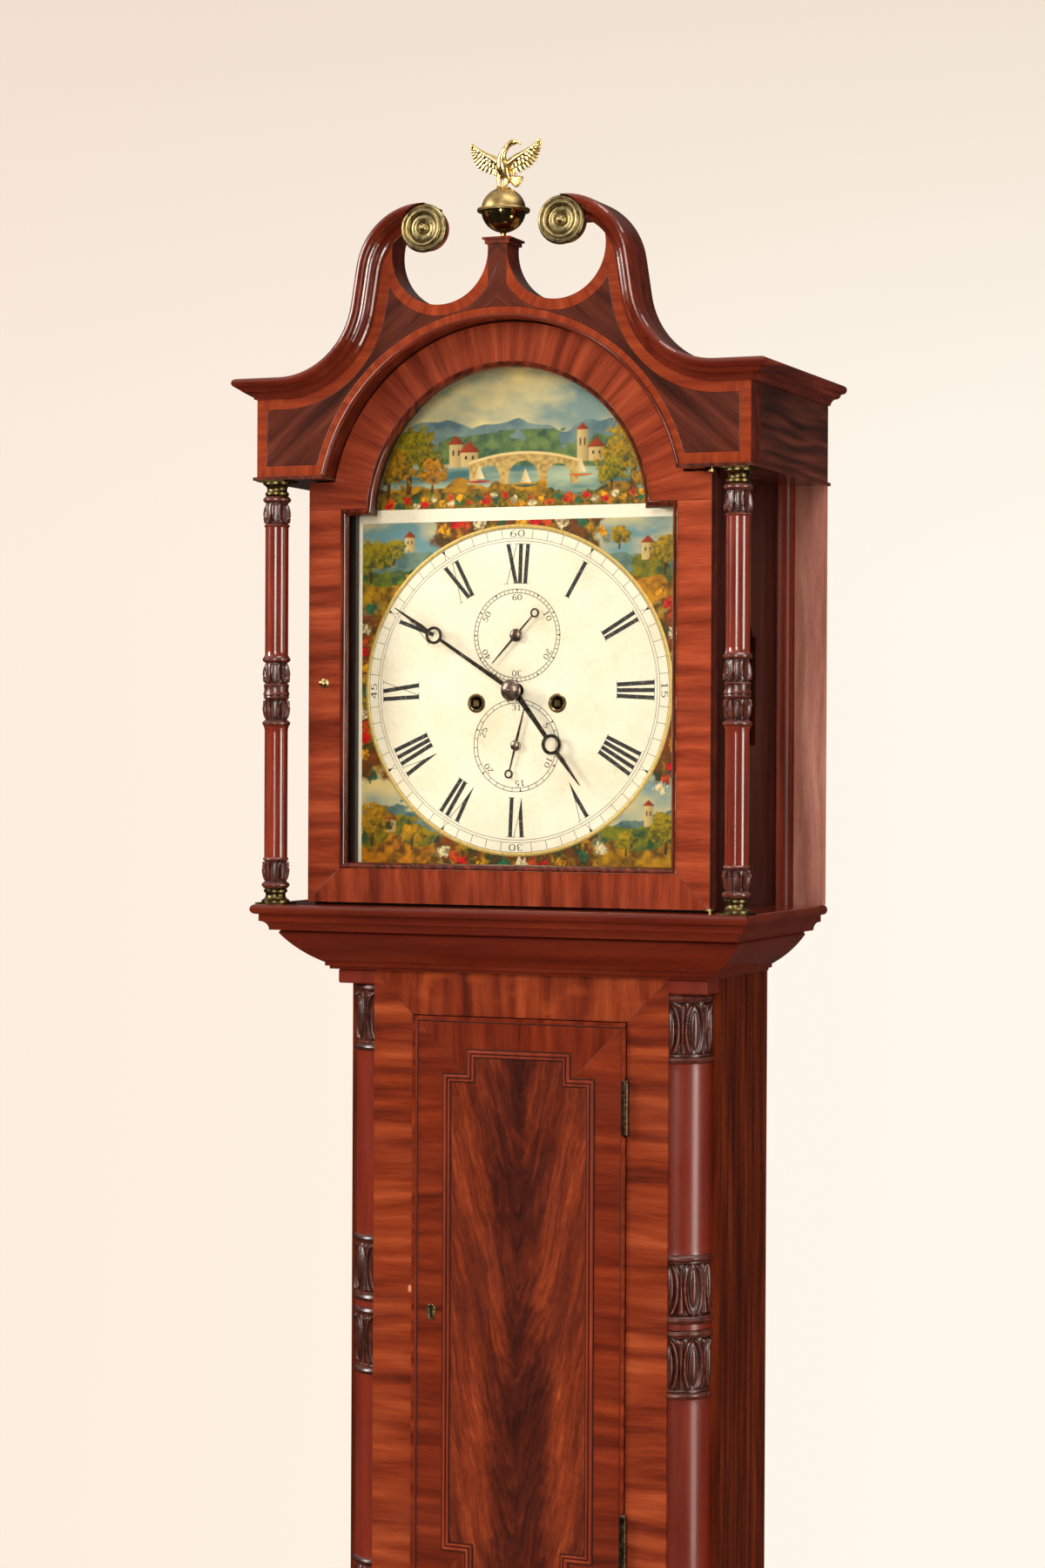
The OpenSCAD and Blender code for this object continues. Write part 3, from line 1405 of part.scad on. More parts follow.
module pendulum_bob() {
    z = anchor_at[1] - pendulum_len;
    half_t = 13;
    color(brass) {
        difference() {
            translate([0, pendulum_y, z]) rotate([90, 0, 0]) rotate_extrude($fn = 64) polygon(concat(
                [[0, -half_t]], bow([0, -half_t], [bob_r, -1.5], -3, 10), [[bob_r, 1.5]],
                bow([bob_r, 1.5], [0, half_t], -3, 10)));
            translate([0, pendulum_y, z - bob_r - 1]) cylinder(r = rod_r + touch, h = 2 * bob_r + 2);
        }
        translate([0, pendulum_y, z - bob_r - 12]) difference() {
            cylinder(r = 9, h = 6);
            translate([0, 0, -1]) cylinder(r = rod_r + touch, h = 8);
        }
    }
}

module great_wheel(at, teeth, toward) {
    y = inner_y + great_layer;
    difference() {
        wheel(at, teeth, great_m, y, 3, toward, 9);
        along_y(at, square_r + 2 + run_gap, y - 1, y + 4);
    }
}

module great_wheel_going() {
    color(brass) great_wheel(going_at, great_teeth, heading(going_at, centre_at));
}

module great_wheel_strike() {
    color(brass) great_wheel(strike_at, strike_great_teeth, heading(strike_at, pin_at));
}

module barrel(at) {
    drum_front = inner_y + drum_from;
    drum_back = inner_y + great_layer - drum_stop;
    long = drum_back - drum_front;
    turns = 16;
    pitch = long / turns;
    body = barrel_r - line_r;
    root = body - 0.9;
    end_t = 2;
    color(brass) translate([at[0], drum_back, at[1]]) rotate([90, 0, 0]) rotate_extrude($fn = 48)
        polygon(concat(
            [[0, -end_t], [barrel_r + 2.4, -end_t], [barrel_r + 2.4, 0]],
            [for (i = [0:turns - 1]) each
                [[root, (i + 0.1) * pitch], [body, (i + 0.5) * pitch], [root, (i + 0.9) * pitch]]],
            [[barrel_r - 2, long], [barrel_r - 2, long + end_t], [0, long + end_t]]));
    color(steel) {
        along_y(at, square_r - touch, front_plate_y + joint_gap, behind_y - joint_gap);
        along_y(at, square_r + 2, drum_back + 1, inner_y + great_layer + 5);
        translate([at[0] - 2.7, dial_y - 0.5, at[1] - 2.7]) cube([5.4, front_plate_y - dial_y + 3, 5.4]);
    }
}

module barrel_going() {
    barrel(going_at);
}

module barrel_strike() {
    barrel(strike_at);
}

pulley_pin_r = 2;

module weight(lines) {
    x = (lines[0] + lines[1]) / 2;
    top = pulley_z() - weight_top_drop + 34;
    edge = 3;
    crown = 5;
    inner = 4;
    stirrup_t = 12;
    color(iron) translate([x, drum_y(), top - weight_h]) rotate_extrude($fn = 64) polygon(concat(
        [[0, 0]], arc([weight_r - edge, edge], edge, -90, 0, 4),
        arc([weight_r - crown, weight_h - crown], crown, 0, 90, 5), [[0, weight_h]]));
    color(brass) difference() {
        translate([x, drum_y() + stirrup_t / 2, 0]) rotate([90, 0, 0]) linear_extrude(stirrup_t) {
            translate([-5, top - 1]) square([10, pulley_z() - top + 6]);
            translate([0, pulley_z()]) circle(r = 7);
        }
        slab([x - 30, x + 30], [drum_y() - inner, drum_y() + inner],
            [pulley_z() - pulley_r - 4, pulley_z() + 30]);
    }
    color(steel) along_y([x, pulley_z()], pulley_pin_r,
        drum_y() - stirrup_t / 2 - 0.5, drum_y() + stirrup_t / 2 + 0.5);
}

module weight_going() {
    weight(going_lines());
}

module weight_strike() {
    weight(strike_lines());
}

module pulley(lines) {
    x = (lines[0] + lines[1]) / 2;
    half_t = 3.5;
    bore = pulley_pin_r + run_gap;
    rim = pulley_r + 1.6;
    color(brass) translate([x, drum_y(), pulley_z()]) rotate([90, 0, 0]) difference() {
        rotate_extrude($fn = 48) polygon(concat(
            [[bore, -half_t], [rim, -half_t], [rim, 1 - half_t]],
            bow([rim - 0.4, 1.2 - half_t], [rim - 0.4, half_t - 1.2], 2.1, 6),
            [[rim, half_t - 1], [rim, half_t], [bore, half_t]]));
        for (a = [0:60:300]) rotate(a) translate([12, 0, -half_t - 1])
            cylinder(r = 3.4, h = 2 * half_t + 2, $fn = 24);
    }
}

module pulley_going() {
    pulley(going_lines());
}

module pulley_strike() {
    pulley(strike_lines());
}

module pin_wheel() {
    y = inner_y + pin_layer;
    pins = 8;
    color(brass) wheel(pin_at, pin_teeth, locking_m, y, wheel_t, heading(pin_at, locking_at), 2);
    color(steel) {
        arbor(pin_at, arbor_r, 1, inner_y, back_plate_y, journal, journal);
        pinion(pin_at, leaves, great_m, inner_y + great_layer - 2.5, 8, heading(pin_at, strike_at));
        for (i = [0:pins - 1]) let (a = i * 360 / pins)
            along_y(pin_at + 20 * [cos(a), sin(a)], 0.8, y - 3, y + 1);
    }
}

module locking_wheel() {
    color(brass) wheel(locking_at, locking_teeth, warning_m, inner_y + locking_layer, wheel_t,
        heading(locking_at, warning_at), 2);
    color(steel) {
        arbor(locking_at, arbor_r, 1, inner_y, back_plate_y, journal, journal);
        pinion(locking_at, leaves, locking_m, inner_y + pin_layer - 1.5, 5, heading(locking_at, pin_at));
    }
}

module warning_wheel() {
    color(brass) wheel(warning_at, warning_teeth, fly_m, inner_y + warning_layer, 1.6,
        heading(warning_at, fly_at), 2);
    color(steel) {
        arbor(warning_at, 1.25, 1, inner_y, back_plate_y, journal, journal);
        pinion(warning_at, leaves, warning_m, inner_y + locking_layer - 1.5, 5,
            heading(warning_at, locking_at));
    }
}

module fly() {
    vane = 11.5;
    vane_t = 0.8;
    y = inner_y + warning_layer;
    color(brass) slab([fly_at[0] - vane, fly_at[0] + vane], [y + 9, y + 34],
        [fly_at[1] - vane_t / 2, fly_at[1] + vane_t / 2]);
    color(steel) {
        arbor(fly_at, 1.2, 1, inner_y, back_plate_y, journal, journal);
        pinion(fly_at, fly_leaves, fly_m, y - 1.5, 5, heading(fly_at, warning_at));
    }
}

module hammer() {
    head_z = bell_z + 6;
    y = behind_y + 5;
    rim_x = -sqrt(pow(bell_r + 1, 2) - pow(y - bell_y, 2));
    head_x = rim_x - 5.2;
    color(steel) {
        arbor(hammer_at, 2, 1, inner_y, back_plate_y, journal, plate_t + 8);
        along_y(hammer_at, 3, behind_y + joint_gap, behind_y + 7.5);
        hull() {
            along_y(hammer_at, 2, y - 1, y + 1);
            along_y([head_x - 3, head_z], 1.4, y - 1, y + 1);
        }
        translate([head_x - 5, y, head_z]) rotate([0, 90, 0]) cylinder(r = 4.5, h = 8);
    }
}

plinth();
base_box();
base_moulding();
backboard();
trunk_sides();
trunk_front_frame();
trunk_columns();
throat_moulding();
seatboard();
trunk_hinge_leaves();
dial_plate();
movement_frame();
bell();
upper_lines();
gut_line_going();
gut_line_strike();
hood_base();
hood_sides();
side_glasses();
hood_frieze();
pediment_board();
swan_necks();
rosettes();
finial_ball();
finial_eagle();
hood_columns();
column_caps();
hood_mask();
hood_door_frame();
hood_door_glass();
hood_door_fittings();
trunk_door_board();
trunk_door_moulding();
trunk_door_hinges();
trunk_door_lock();
lock_bolt();
minute_hand();
centre_wheel();
hour_hand();
minute_wheel();
third_wheel();
escape_wheel();
seconds_hand();
calendar_hand();
anchor();
pendulum_rod();
pendulum_bob();
great_wheel_going();
great_wheel_strike();
barrel_going();
barrel_strike();
weight_going();
weight_strike();
pulley_going();
pulley_strike();
pin_wheel();
locking_wheel();
warning_wheel();
fly();
hammer();
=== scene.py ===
"""Looks of the longcase clock: finishes of its solids, carved and painted pieces, light and camera."""
import math
import bpy
import numpy as np
from mathutils import Matrix, Vector


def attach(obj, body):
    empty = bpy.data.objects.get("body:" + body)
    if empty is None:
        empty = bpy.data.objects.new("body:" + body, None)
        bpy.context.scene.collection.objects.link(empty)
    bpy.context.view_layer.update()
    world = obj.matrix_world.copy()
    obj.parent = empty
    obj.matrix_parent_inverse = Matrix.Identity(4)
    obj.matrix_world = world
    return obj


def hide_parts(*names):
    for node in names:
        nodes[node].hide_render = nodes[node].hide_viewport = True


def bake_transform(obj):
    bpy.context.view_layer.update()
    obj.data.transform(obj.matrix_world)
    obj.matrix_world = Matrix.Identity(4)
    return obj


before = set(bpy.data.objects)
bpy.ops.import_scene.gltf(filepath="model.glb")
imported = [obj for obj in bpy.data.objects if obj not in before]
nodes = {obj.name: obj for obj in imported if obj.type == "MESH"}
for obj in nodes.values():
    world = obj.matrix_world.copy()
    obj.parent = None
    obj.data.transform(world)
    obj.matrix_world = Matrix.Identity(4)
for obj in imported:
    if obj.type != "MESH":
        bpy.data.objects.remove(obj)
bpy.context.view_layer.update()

# Sizes repeated from the solids, in millimetres
MM = 0.001
DIAL_Z = 1500.0
ARCH_Z = 1665.0
FRIEZE_Y, DOOR_Y, DIAL_Y, TRUNK_Y = -110.3, -87.3, -57.3, -48.6
FINIAL_Y, FINIAL_FOOT = -95.3, 1969.75
HOOD_FLOOR, SOFFIT_Z, FRIEZE_Z, CORNICE_Z, CAP_Z = 1294.0, 1702.0, 1705.0, 1799.0, 1922.8
TRUNK_TOP, TRUNK_BOTTOM = 1229.7, 575.0
REAR_STRIP_Y = 117.3
DOOR_MID = 902.0
ARCH_BEAD_R, OPENING_R, OPENING_HALF, OPENING_FOOT, SHOULDER_Z = 182.5, 144.5, 171.5, 1329.2, 1673.9
RAIL_MITRE_Z, RAIL_MITRE_X = 1296.5, 205
WINDING_X, WINDING_DROP = 41.65, 12
SECONDS, CALENDAR = (0, 52.5), (0, -52.3)
HOOD_COLUMN_X, HOOD_COLUMN_Y = 234.5, -97.9
QUARTER_X, QUARTER_Y, QUARTER_R, COLLAR_TALL = 151.6, -13.6, 31.5, 65
DOOR_HALF, DOOR_TALL = 109.6, 284.6
PANEL_HALF, PANEL_STEP, PANEL_REACH, PANEL_NOTCH = 77.5, 24.8, 253.5, 24
HINGE_AT = (110.3, -52.3)
PULLEY_R, PULLEY_Z, LINE_TOP, LINE_Y = 22, 1368, 1402, -1.3
PAINT = DIAL_Y - 0.12

# Edges that the veneers follow: discs are (x, z, radius), mitres meet where half heights and widths do
HOLE, NECK_LOW, NECK_HEAD = (59, 1912, 49.5), (220, 1876.5, 96.5), (71.15, 1889.4, 48.5)
NECK_RISE_AT, NECK_RISE_WAY, NECK_FOOT_Z, NECK_HEAD_Z = (119.05, 1896.9), (0.9877, 0.1564), 1862, 1898
PEDIMENT_HALF, CORNICE_HALF, CORNICE_TALL = 250, 222, 19
FRAME_MITRE, DOOR_MITRE = (285.8, 110.7), (285, 109.9)
BASE_MID, BASE_MITRE, BASE_PANEL = 300, (215, 232), (155, 176)
HOOD_SIDE_X, FRIEZE_INSIDE = 207.2, (235.5, -79, 1706)


# Finishes -------------------------------------------------------------------

def srgb(r, g, b):
    """A colour given as on a colour card, 0 to 255, as linear light."""
    return [((c / 255 + 0.055) / 1.055) ** 2.4 if c > 10 else c / 3294 for c in (r, g, b)] + [1.0]


class Tone:
    """A socket of a finish that is being mixed; plain arithmetic on it adds Math nodes."""

    def __init__(self, finish, socket):
        self.finish, self.socket = finish, socket

    def maths(self, operation, *values):
        return self.finish.node("Math", {"operation": operation}, values)

    def __add__(self, other):
        return self.maths("ADD", self, other)

    def __radd__(self, other):
        return self.maths("ADD", other, self)

    def __sub__(self, other):
        return self.maths("SUBTRACT", self, other)

    def __rsub__(self, other):
        return self.maths("SUBTRACT", other, self)

    def __mul__(self, other):
        return self.maths("MULTIPLY", self, other)

    def __rmul__(self, other):
        return self.maths("MULTIPLY", other, self)

    def __truediv__(self, other):
        return self.maths("DIVIDE", self, other)

    def __gt__(self, other):
        return self.maths("GREATER_THAN", self, other)

    def __lt__(self, other):
        return self.maths("LESS_THAN", self, other)

    def __abs__(self):
        return self.maths("ABSOLUTE", self)

    def __pow__(self, other):
        return self.maths("POWER", self, other)


class Finish:
    """One material, mixed from nodes. Places on the piece are in the clock's own millimetres."""

    def __init__(self, name):
        self.material = bpy.data.materials.new(name)
        self.material.use_nodes = True
        self.tree = self.material.node_tree
        self.tree.nodes.clear()

    def node(self, kind, settings=(), inputs=(), out=0):
        made = self.tree.nodes.new("ShaderNode" + kind)
        for key, value in dict(settings).items():
            if key == "stops":
                ramp = made.color_ramp.elements
                while len(ramp) < len(value):
                    ramp.new(0.5)
                for element, (place, colour) in zip(ramp, value):
                    element.position, element.color = place, colour
            else:
                setattr(made, key, value)
        for key, value in inputs.items() if isinstance(inputs, dict) else enumerate(inputs):
            if isinstance(value, Tone):
                self.tree.links.new(value.socket, made.inputs[key])
            else:
                made.inputs[key].default_value = value
        return Tone(self, made.outputs[out]) if made.outputs else made

    def place(self):
        """The finish, and x, y and z of the shaded spot in millimetres."""
        spot = self.node("VectorMath", {"operation": "SCALE"},
                         {0: self.node("TexCoord", out=3), "Scale": 1000.0})
        return [self] + [self.node("SeparateXYZ", inputs=[spot], out=k) for k in range(3)]

    def noise(self, x, y, z, detail=2.0, rough=0.5):
        spot = self.node("CombineXYZ", inputs=[x, y, z])
        return self.node("TexNoise",
                         inputs={"Vector": spot, "Scale": 1.0, "Detail": detail, "Roughness": rough})

    def rise(self, value, low, high):
        """0 below low, 1 above high, smooth between."""
        return self.node("MapRange", {"interpolation_type": "SMOOTHSTEP"},
                         {"Value": value, "From Min": low, "From Max": high})

    def least(self, a, b):
        return self.node("Math", {"operation": "MINIMUM"}, [a, b])

    def most(self, a, b):
        return self.node("Math", {"operation": "MAXIMUM"}, [a, b])

    def far(self, x, z):
        """Distance from the origin of x and z."""
        return (x * x + z * z) ** 0.5

    def angle(self, x, z):
        return self.node("Math", {"operation": "ARCTAN2"}, [z, x])

    def choose(self, mask, a, b):
        """a where the mask is 0, b where it is 1."""
        return a + mask * (b - a)

    def blend(self, mask, a, b):
        """The same for colours."""
        return self.node("Mix", {"data_type": "RGBA"}, {0: mask, 6: a, 7: b}, out=2)

    def shade(self, colour, factor):
        return self.node("VectorMath", {"operation": "SCALE"}, {0: colour, "Scale": factor})

    def ramp(self, value, colours):
        steps = len(colours) - 1
        stops = [(k / steps, srgb(*c)) for k, c in enumerate(colours)]
        return self.node("ValToRGB", {"stops": stops}, [value])

    def done(self, colour, roughness, relief, depth, metallic=0.0, coat=0.0, coat_rough=0.1, **more):
        """Closes the finish. Depth is the height of its relief in millimetres."""
        inputs = {"Base Color": colour, "Roughness": roughness, "Metallic": metallic,
                  "Coat Weight": coat, "Coat Roughness": coat_rough}
        inputs.update(more)
        inputs["Normal"] = self.node("Bump", inputs={"Distance": depth * MM, "Height": relief})
        shader = self.node("BsdfPrincipled", inputs=inputs)
        self.node("OutputMaterial", inputs=[shader])
        return self.material


# Colours of the woods, dark to light
DOOR_WOOD = [(70, 24, 14), (112, 42, 24), (146, 62, 36), (176, 86, 52)]
CROSSBAND = [(84, 28, 14), (118, 42, 20), (142, 58, 28), (166, 76, 40)]
DARK_FIGURE = [(42, 18, 13), (64, 28, 19), (88, 40, 28), (116, 58, 42)]
FLAME = [(52, 20, 15), (76, 28, 18), (104, 40, 22), (134, 54, 28), (168, 76, 40)]
# Side woods are darker than the front woods: partly their own colour, partly painted shade on the sides,
# which take less light.
SIDE_WOOD = [(50, 15, 6), (70, 23, 10), (88, 32, 14), (106, 43, 20)]
MOULD_WOOD = [(62, 18, 10), (84, 27, 15), (102, 36, 20), (124, 50, 28)]
SHAFT_WOOD = [(70, 20, 12), (96, 30, 18), (120, 42, 25), (142, 56, 34)]
BEAD_WOOD = [(92, 32, 17), (110, 40, 22), (130, 50, 28), (152, 63, 36)]
QUARTER_WOOD = [(84, 22, 11), (100, 28, 14), (116, 36, 19), (132, 45, 26)]
# Hood sides: dark own colour, darkened further as painted shade.
HOOD_SIDE = [(24, 7, 4), (38, 11, 6), (52, 16, 9), (68, 23, 12)]
# Pale colour of the hood's rear strip: painted light and reflection from the right.
SHEEN_WOOD = [(124, 72, 60), (152, 96, 83), (174, 117, 104), (194, 140, 124)]
TRUNK_BAND = [(72, 22, 10), (104, 34, 16), (126, 46, 22), (150, 60, 30)]
SOFTWOOD = [(120, 84, 50), (150, 112, 70), (176, 138, 92), (192, 156, 110)]


def timber(f, across, along, depth, colours, ribbon, contrast=1.0, seed=0.0):
    """Colour and relief of polished wood, from the way across and along its grain."""
    wander = f.noise(across / 110, along / 240, depth / 110 + seed)
    bent = across + wander * 26
    bands = f.noise(bent / ribbon, along / (ribbon * 14), depth / ribbon + seed, detail=4.0)
    flecks = f.noise(bent / 0.8, along / 20, depth / 0.8 + seed)
    tone = (bands - 0.5) * (2.3 * contrast) + (flecks - 0.5) * 0.6 + 0.5
    pores = f.rise(flecks, 0.60, 0.76)
    return f.shade(f.ramp(tone, colours), 1 - pores * 0.4), 1 - pores, tone


def seam(f, distance):
    """1 on the thin dark joint line between two veneers."""
    return 1 - f.rise(abs(distance), 0.14, 0.35)


def polished(f, colour, relief, joints=None, gloss=0.2, coat=0.2, shine=0.36):
    """French polish over wood, a little dulled and dented by age."""
    f, x, y, z = f.place()
    dull = f.noise(x / 60, y / 60, z / 60, detail=4.0)
    wave = f.noise(x / 14, y / 14, z / 14)
    level = relief * 0.35 + wave * 1.4
    if joints is not None:
        colour = f.shade(colour, 1 - joints * 0.65)
        level = level - joints * 2
    return f.done(colour, gloss + (dull - 0.5) * 0.18, level, 0.02, coat=coat, coat_rough=0.08,
                  **{"Specular IOR Level": shine})


def plain_wood(name, colours, ribbon, gloss, grain="z", contrast=1.0, coat=0.2, shine=0.36):
    """Solid or straight-laid wood with its grain up (z) or across (x)."""
    f, x, y, z = Finish(name).place()
    across, along = (x, z) if grain == "z" else (z, x)
    colour, relief, _ = timber(f, across + y * 0.9, along, y, colours, ribbon, contrast)
    return polished(f, colour, relief, gloss=gloss, coat=coat, shine=shine)


def hood_door_veneer():
    """Stiles laid across, bottom rail upright, arch radial."""
    f, x, y, z = Finish("hood_door_veneer").place()
    side = abs(x)
    up = z - ARCH_Z
    round_arch = z > ARCH_Z + 9
    rail = ((z - RAIL_MITRE_Z) < (RAIL_MITRE_X - side)) * (z < 1340)
    radius = f.far(x, up)
    turn = f.angle(x, up)
    across = f.choose(round_arch, f.choose(rail, z, x + 700), turn * 165 + 300)
    along = f.choose(round_arch, f.choose(rail, x, z), radius)
    colour, relief, tone = timber(f, across, along, y, DOOR_WOOD, ribbon=12, contrast=0.72)
    # Painted light: the door is painted lighter towards its right side, where more light falls.
    colour = f.shade(colour, 0.92 + 0.3 * f.rise(x, 60.0, 200.0))
    colour = f.blend(y > DOOR_Y + 1.5, colour, f.shade(f.ramp(tone, MOULD_WOOD), 0.7))
    mitre = seam(f, (z - RAIL_MITRE_Z) - (RAIL_MITRE_X - side)) * (z < 1331)
    return polished(f, colour, relief, f.most(mitre, seam(f, z - ARCH_Z - 9)))


def pediment_veneer():
    """Light crossbanding round dark diagonal panels."""
    f, x, y, z = Finish("pediment_veneer").place()
    side = abs(x)
    arch_up, hole_x, hole_up = z - ARCH_Z, side - HOLE[0], z - HOLE[1]
    to_arch = f.far(x, arch_up) - ARCH_BEAD_R
    to_hole = f.far(hole_x, hole_up) - HOLE[2]
    to_end = PEDIMENT_HALF - side
    to_foot = z - FRIEZE_Z
    low = f.far(side - NECK_LOW[0], z - NECK_LOW[1]) - NECK_LOW[2]
    rising = (NECK_RISE_AT[0] - side) * NECK_RISE_WAY[0] + (NECK_RISE_AT[1] - z) * NECK_RISE_WAY[1]
    head = NECK_HEAD[2] - f.far(side - NECK_HEAD[0], z - NECK_HEAD[1])
    to_neck = f.choose(z > NECK_HEAD_Z, f.choose(z > NECK_FOOT_Z, low, rising), head)
    to_cornice = CORNICE_Z - CORNICE_TALL - z + (side < CORNICE_HALF) * 400
    edge, run = to_arch, f.angle(x, arch_up) * 185
    for distance, way in ((to_foot, x + 900), (to_end, z + 500), (to_neck, z + 1500), (to_cornice, x + 2100),
                          (to_hole, f.angle(hole_x, hole_up) * 52 + 2600)):
        nearer = distance < edge
        run = f.choose(nearer, run, way)
        edge = f.least(edge, distance)
    band_wide = 10.5
    inside = f.most(edge > band_wide, (side < 9.5) * (z > 1868))
    band, relief, tone = timber(f, run, edge, y, CROSSBAND, ribbon=7, contrast=0.5)
    slant, cross = side * 0.62 + z * 0.79, side * 0.79 - z * 0.62
    panel, _, tone = timber(f, slant, cross, y, DARK_FIGURE, ribbon=11, contrast=0.8, seed=7.0)
    colour = f.blend(inside, band, panel)
    front = y < FRIEZE_Y + 1
    edges = f.shade(f.ramp(tone, MOULD_WOOD), 0.7)
    return polished(f, f.blend(front, edges, colour), relief, seam(f, edge - band_wide) * front)


def trunk_frame_veneer():
    """Stiles laid across, rails upright with lighter patches, mitred at the corners."""
    f, x, y, z = Finish("trunk_frame_veneer").place()
    side = abs(x)
    past = abs(z - DOOR_MID) - FRAME_MITRE[0]
    rail = past > (side - FRAME_MITRE[1])
    colour, relief, tone = timber(f, f.choose(rail, z, x + 800), f.choose(rail, x, z), y,
                                  CROSSBAND, ribbon=13)
    glow = f.noise(x / 38, y / 60, z / 26 + 3, detail=3.0) * rail
    colour = f.blend(f.rise(glow, 0.48, 0.75) * 0.55, colour, srgb(186, 84, 40))
    spot = 1 - f.rise(f.far(x + 112.5, (z - 922) * 0.55) + tone * 0.8, 2.0, 2.8)
    colour = f.blend(spot, colour, srgb(214, 140, 100))
    joints = seam(f, past - side + FRAME_MITRE[1]) * (past > 0)
    # Painted shade: the whole frame is darkened by 0.84, as the trunk sits lower and takes less light than
    # the hood.
    return polished(f, f.shade(colour, 0.84), relief, joints, gloss=0.24)


def trunk_door_veneer():
    """Crossbanded border round a matched crotch panel."""
    f, x, y, z = Finish("trunk_door_veneer").place()
    side = abs(x)
    up = z - DOOR_MID
    mitre = (abs(up) - DOOR_MITRE[0], side - DOOR_MITRE[1])
    rail = mitre[0] > mitre[1]
    across, along = f.choose(rail, z, x + 800), f.choose(rail, x, z)
    band, relief, _ = timber(f, across, along, y, TRUNK_BAND, ribbon=11, contrast=0.8, seed=4.0)
    sway = f.noise(x / 60, 0.0, z / 110, detail=2.0) - 0.5
    curl = f.noise(x / 20, 3.0, z / 34, detail=4.0) - 0.5
    rise = z - (side ** 1.25) * 1.15 + sway * 110 + curl * 26
    broad = f.noise(rise / 46, side / 34, 1.5, detail=4.0, rough=0.6)
    fine = f.noise(rise / 12, side / 9, 5.5, detail=4.0, rough=0.65)
    mottle = f.noise(x / 7, 8.0, z / 11, detail=4.0, rough=0.7)
    plume = 1 - f.rise(side + sway * 60 + curl * 34, 2.0, 46.0)
    strength = (broad - 0.5) * 1.3 + (fine - 0.5) * 0.9 + (mottle - 0.5) * 0.5 + 0.56 - plume * 0.36
    flame = f.ramp(strength, FLAME)
    inner = f.most((side < PANEL_HALF) * (abs(up) < PANEL_REACH - PANEL_NOTCH),
                   (side < PANEL_HALF - PANEL_STEP) * (abs(up) < PANEL_REACH))
    joints = seam(f, mitre[0] - mitre[1]) * (1 - inner)
    # Painted shade: the whole door is darkened by 0.8, as the trunk sits lower and takes less light than the
    # hood.
    return polished(f, f.shade(f.blend(inner, band, flame), 0.8), relief, joints, gloss=0.22)


def base_veneer():
    """Crossbanding round a matched panel on the base."""
    f, x, y, z = Finish("base_veneer").place()
    side = abs(x)
    up = z - BASE_MID
    mitre = (abs(up) - BASE_MITRE[0], side - BASE_MITRE[1])
    rail = mitre[0] > mitre[1]
    across, along = f.choose(rail, z, x + 800) + y, f.choose(rail, x, z)
    band, relief, _ = timber(f, across, along, y, CROSSBAND, ribbon=12, seed=9.0)
    sway = f.noise(x / 60, 0.0, z / 90, detail=2.0) - 0.5
    rise = z - side * 1.1 + sway * 140
    strength = (f.noise(rise / 36, side / 70, 2.5, detail=4.0) - 0.5) * 2.4 + 0.45
    inner = (side < BASE_PANEL[1]) * (abs(up) < BASE_PANEL[0])
    return polished(f, f.blend(inner, band, f.ramp(strength, FLAME)), relief, seam(f, mitre[0] - mitre[1]))


def frieze_wood():
    """Dark sides under the brighter cornice."""
    f, x, y, z = Finish("frieze_wood").place()
    colour, relief, tone = timber(f, z + x, y, x, DARK_FIGURE, ribbon=8)
    light = f.ramp(tone, MOULD_WOOD)
    inside = (abs(x) < FRIEZE_INSIDE[0]) * (y > FRIEZE_INSIDE[1]) * (z > FRIEZE_INSIDE[2])
    pine = f.ramp(tone, SOFTWOOD)
    colour = f.blend(z > CORNICE_Z - 19.2, f.shade(colour, 0.9), light)
    return polished(f, f.blend(inside, colour, pine), relief, gloss=0.24)


def hood_side_wood():
    """Dark sides, darkened in part as painted shade; the strip behind them painted pale, as painted light and
    reflection from the right.
    """
    f, x, y, z = Finish("hood_side_wood").place()
    colour, relief, tone = timber(f, x + y * 0.9, z, y, HOOD_SIDE, ribbon=12, contrast=0.8)
    speck = f.rise(f.noise(x / 2.4, y / 2.4, z / 3.5, detail=4.0), 0.6, 0.7)
    # Painted light: the pale strip colour stands for light from the right and reflection of the bright wall.
    pale = f.shade(f.ramp(tone, SHEEN_WOOD), 1 - speck * 0.35)
    outside = abs(x) > HOOD_SIDE_X
    colour = f.blend((y > REAR_STRIP_Y - 15) * outside, colour, f.ramp(tone, MOULD_WOOD))
    # Painted sheen: where the rear strip is painted pale.
    painted_sheen = (y > REAR_STRIP_Y) * outside
    return polished(f, f.blend(painted_sheen, colour, pale), relief, gloss=0.24, coat=0.0, shine=0.1)


def carved_wood():
    """Dark polish gathered in the hollows of the carving."""
    f, x, y, z = Finish("carved_wood").place()
    grime = f.noise(x / 7, y / 7, z / 9, detail=4.0)
    hollow = f.node("NewGeometry", out=7)
    tone = f.rise(hollow, 0.46, 0.54) * 0.6 + (grime - 0.35) * 0.8
    colour = f.ramp(tone, [(30, 12, 9), (58, 24, 17), (90, 40, 29), (126, 64, 48)])
    return f.done(colour, 0.28 + (grime - 0.5) * 0.2, grime, 0.05, coat=0.2, coat_rough=0.14)


def metal(name, colours, rough, metallic=1.0, scale=8.0, spots=0.0, depth=0.02):
    """Metal with a stained, lightly scratched surface."""
    f, x, y, z = Finish(name).place()
    cloud = f.noise(x / scale, y / scale, z / scale, detail=5.0)
    scratch = f.noise((x + z) / 0.5, y / 0.5, (x - z) / 9, detail=2.0)
    colour = f.ramp((cloud - 0.5) * 1.8 + 0.5 + (scratch - 0.5) * 0.3, colours)
    if spots:
        colour = f.blend(f.rise(cloud, 0.58, 0.72) * spots, colour, srgb(64, 54, 36))
    shine = rough + (cloud - 0.5) * 0.3 + (scratch - 0.5) * 0.1
    return f.done(colour, shine, scratch + cloud, depth, metallic)


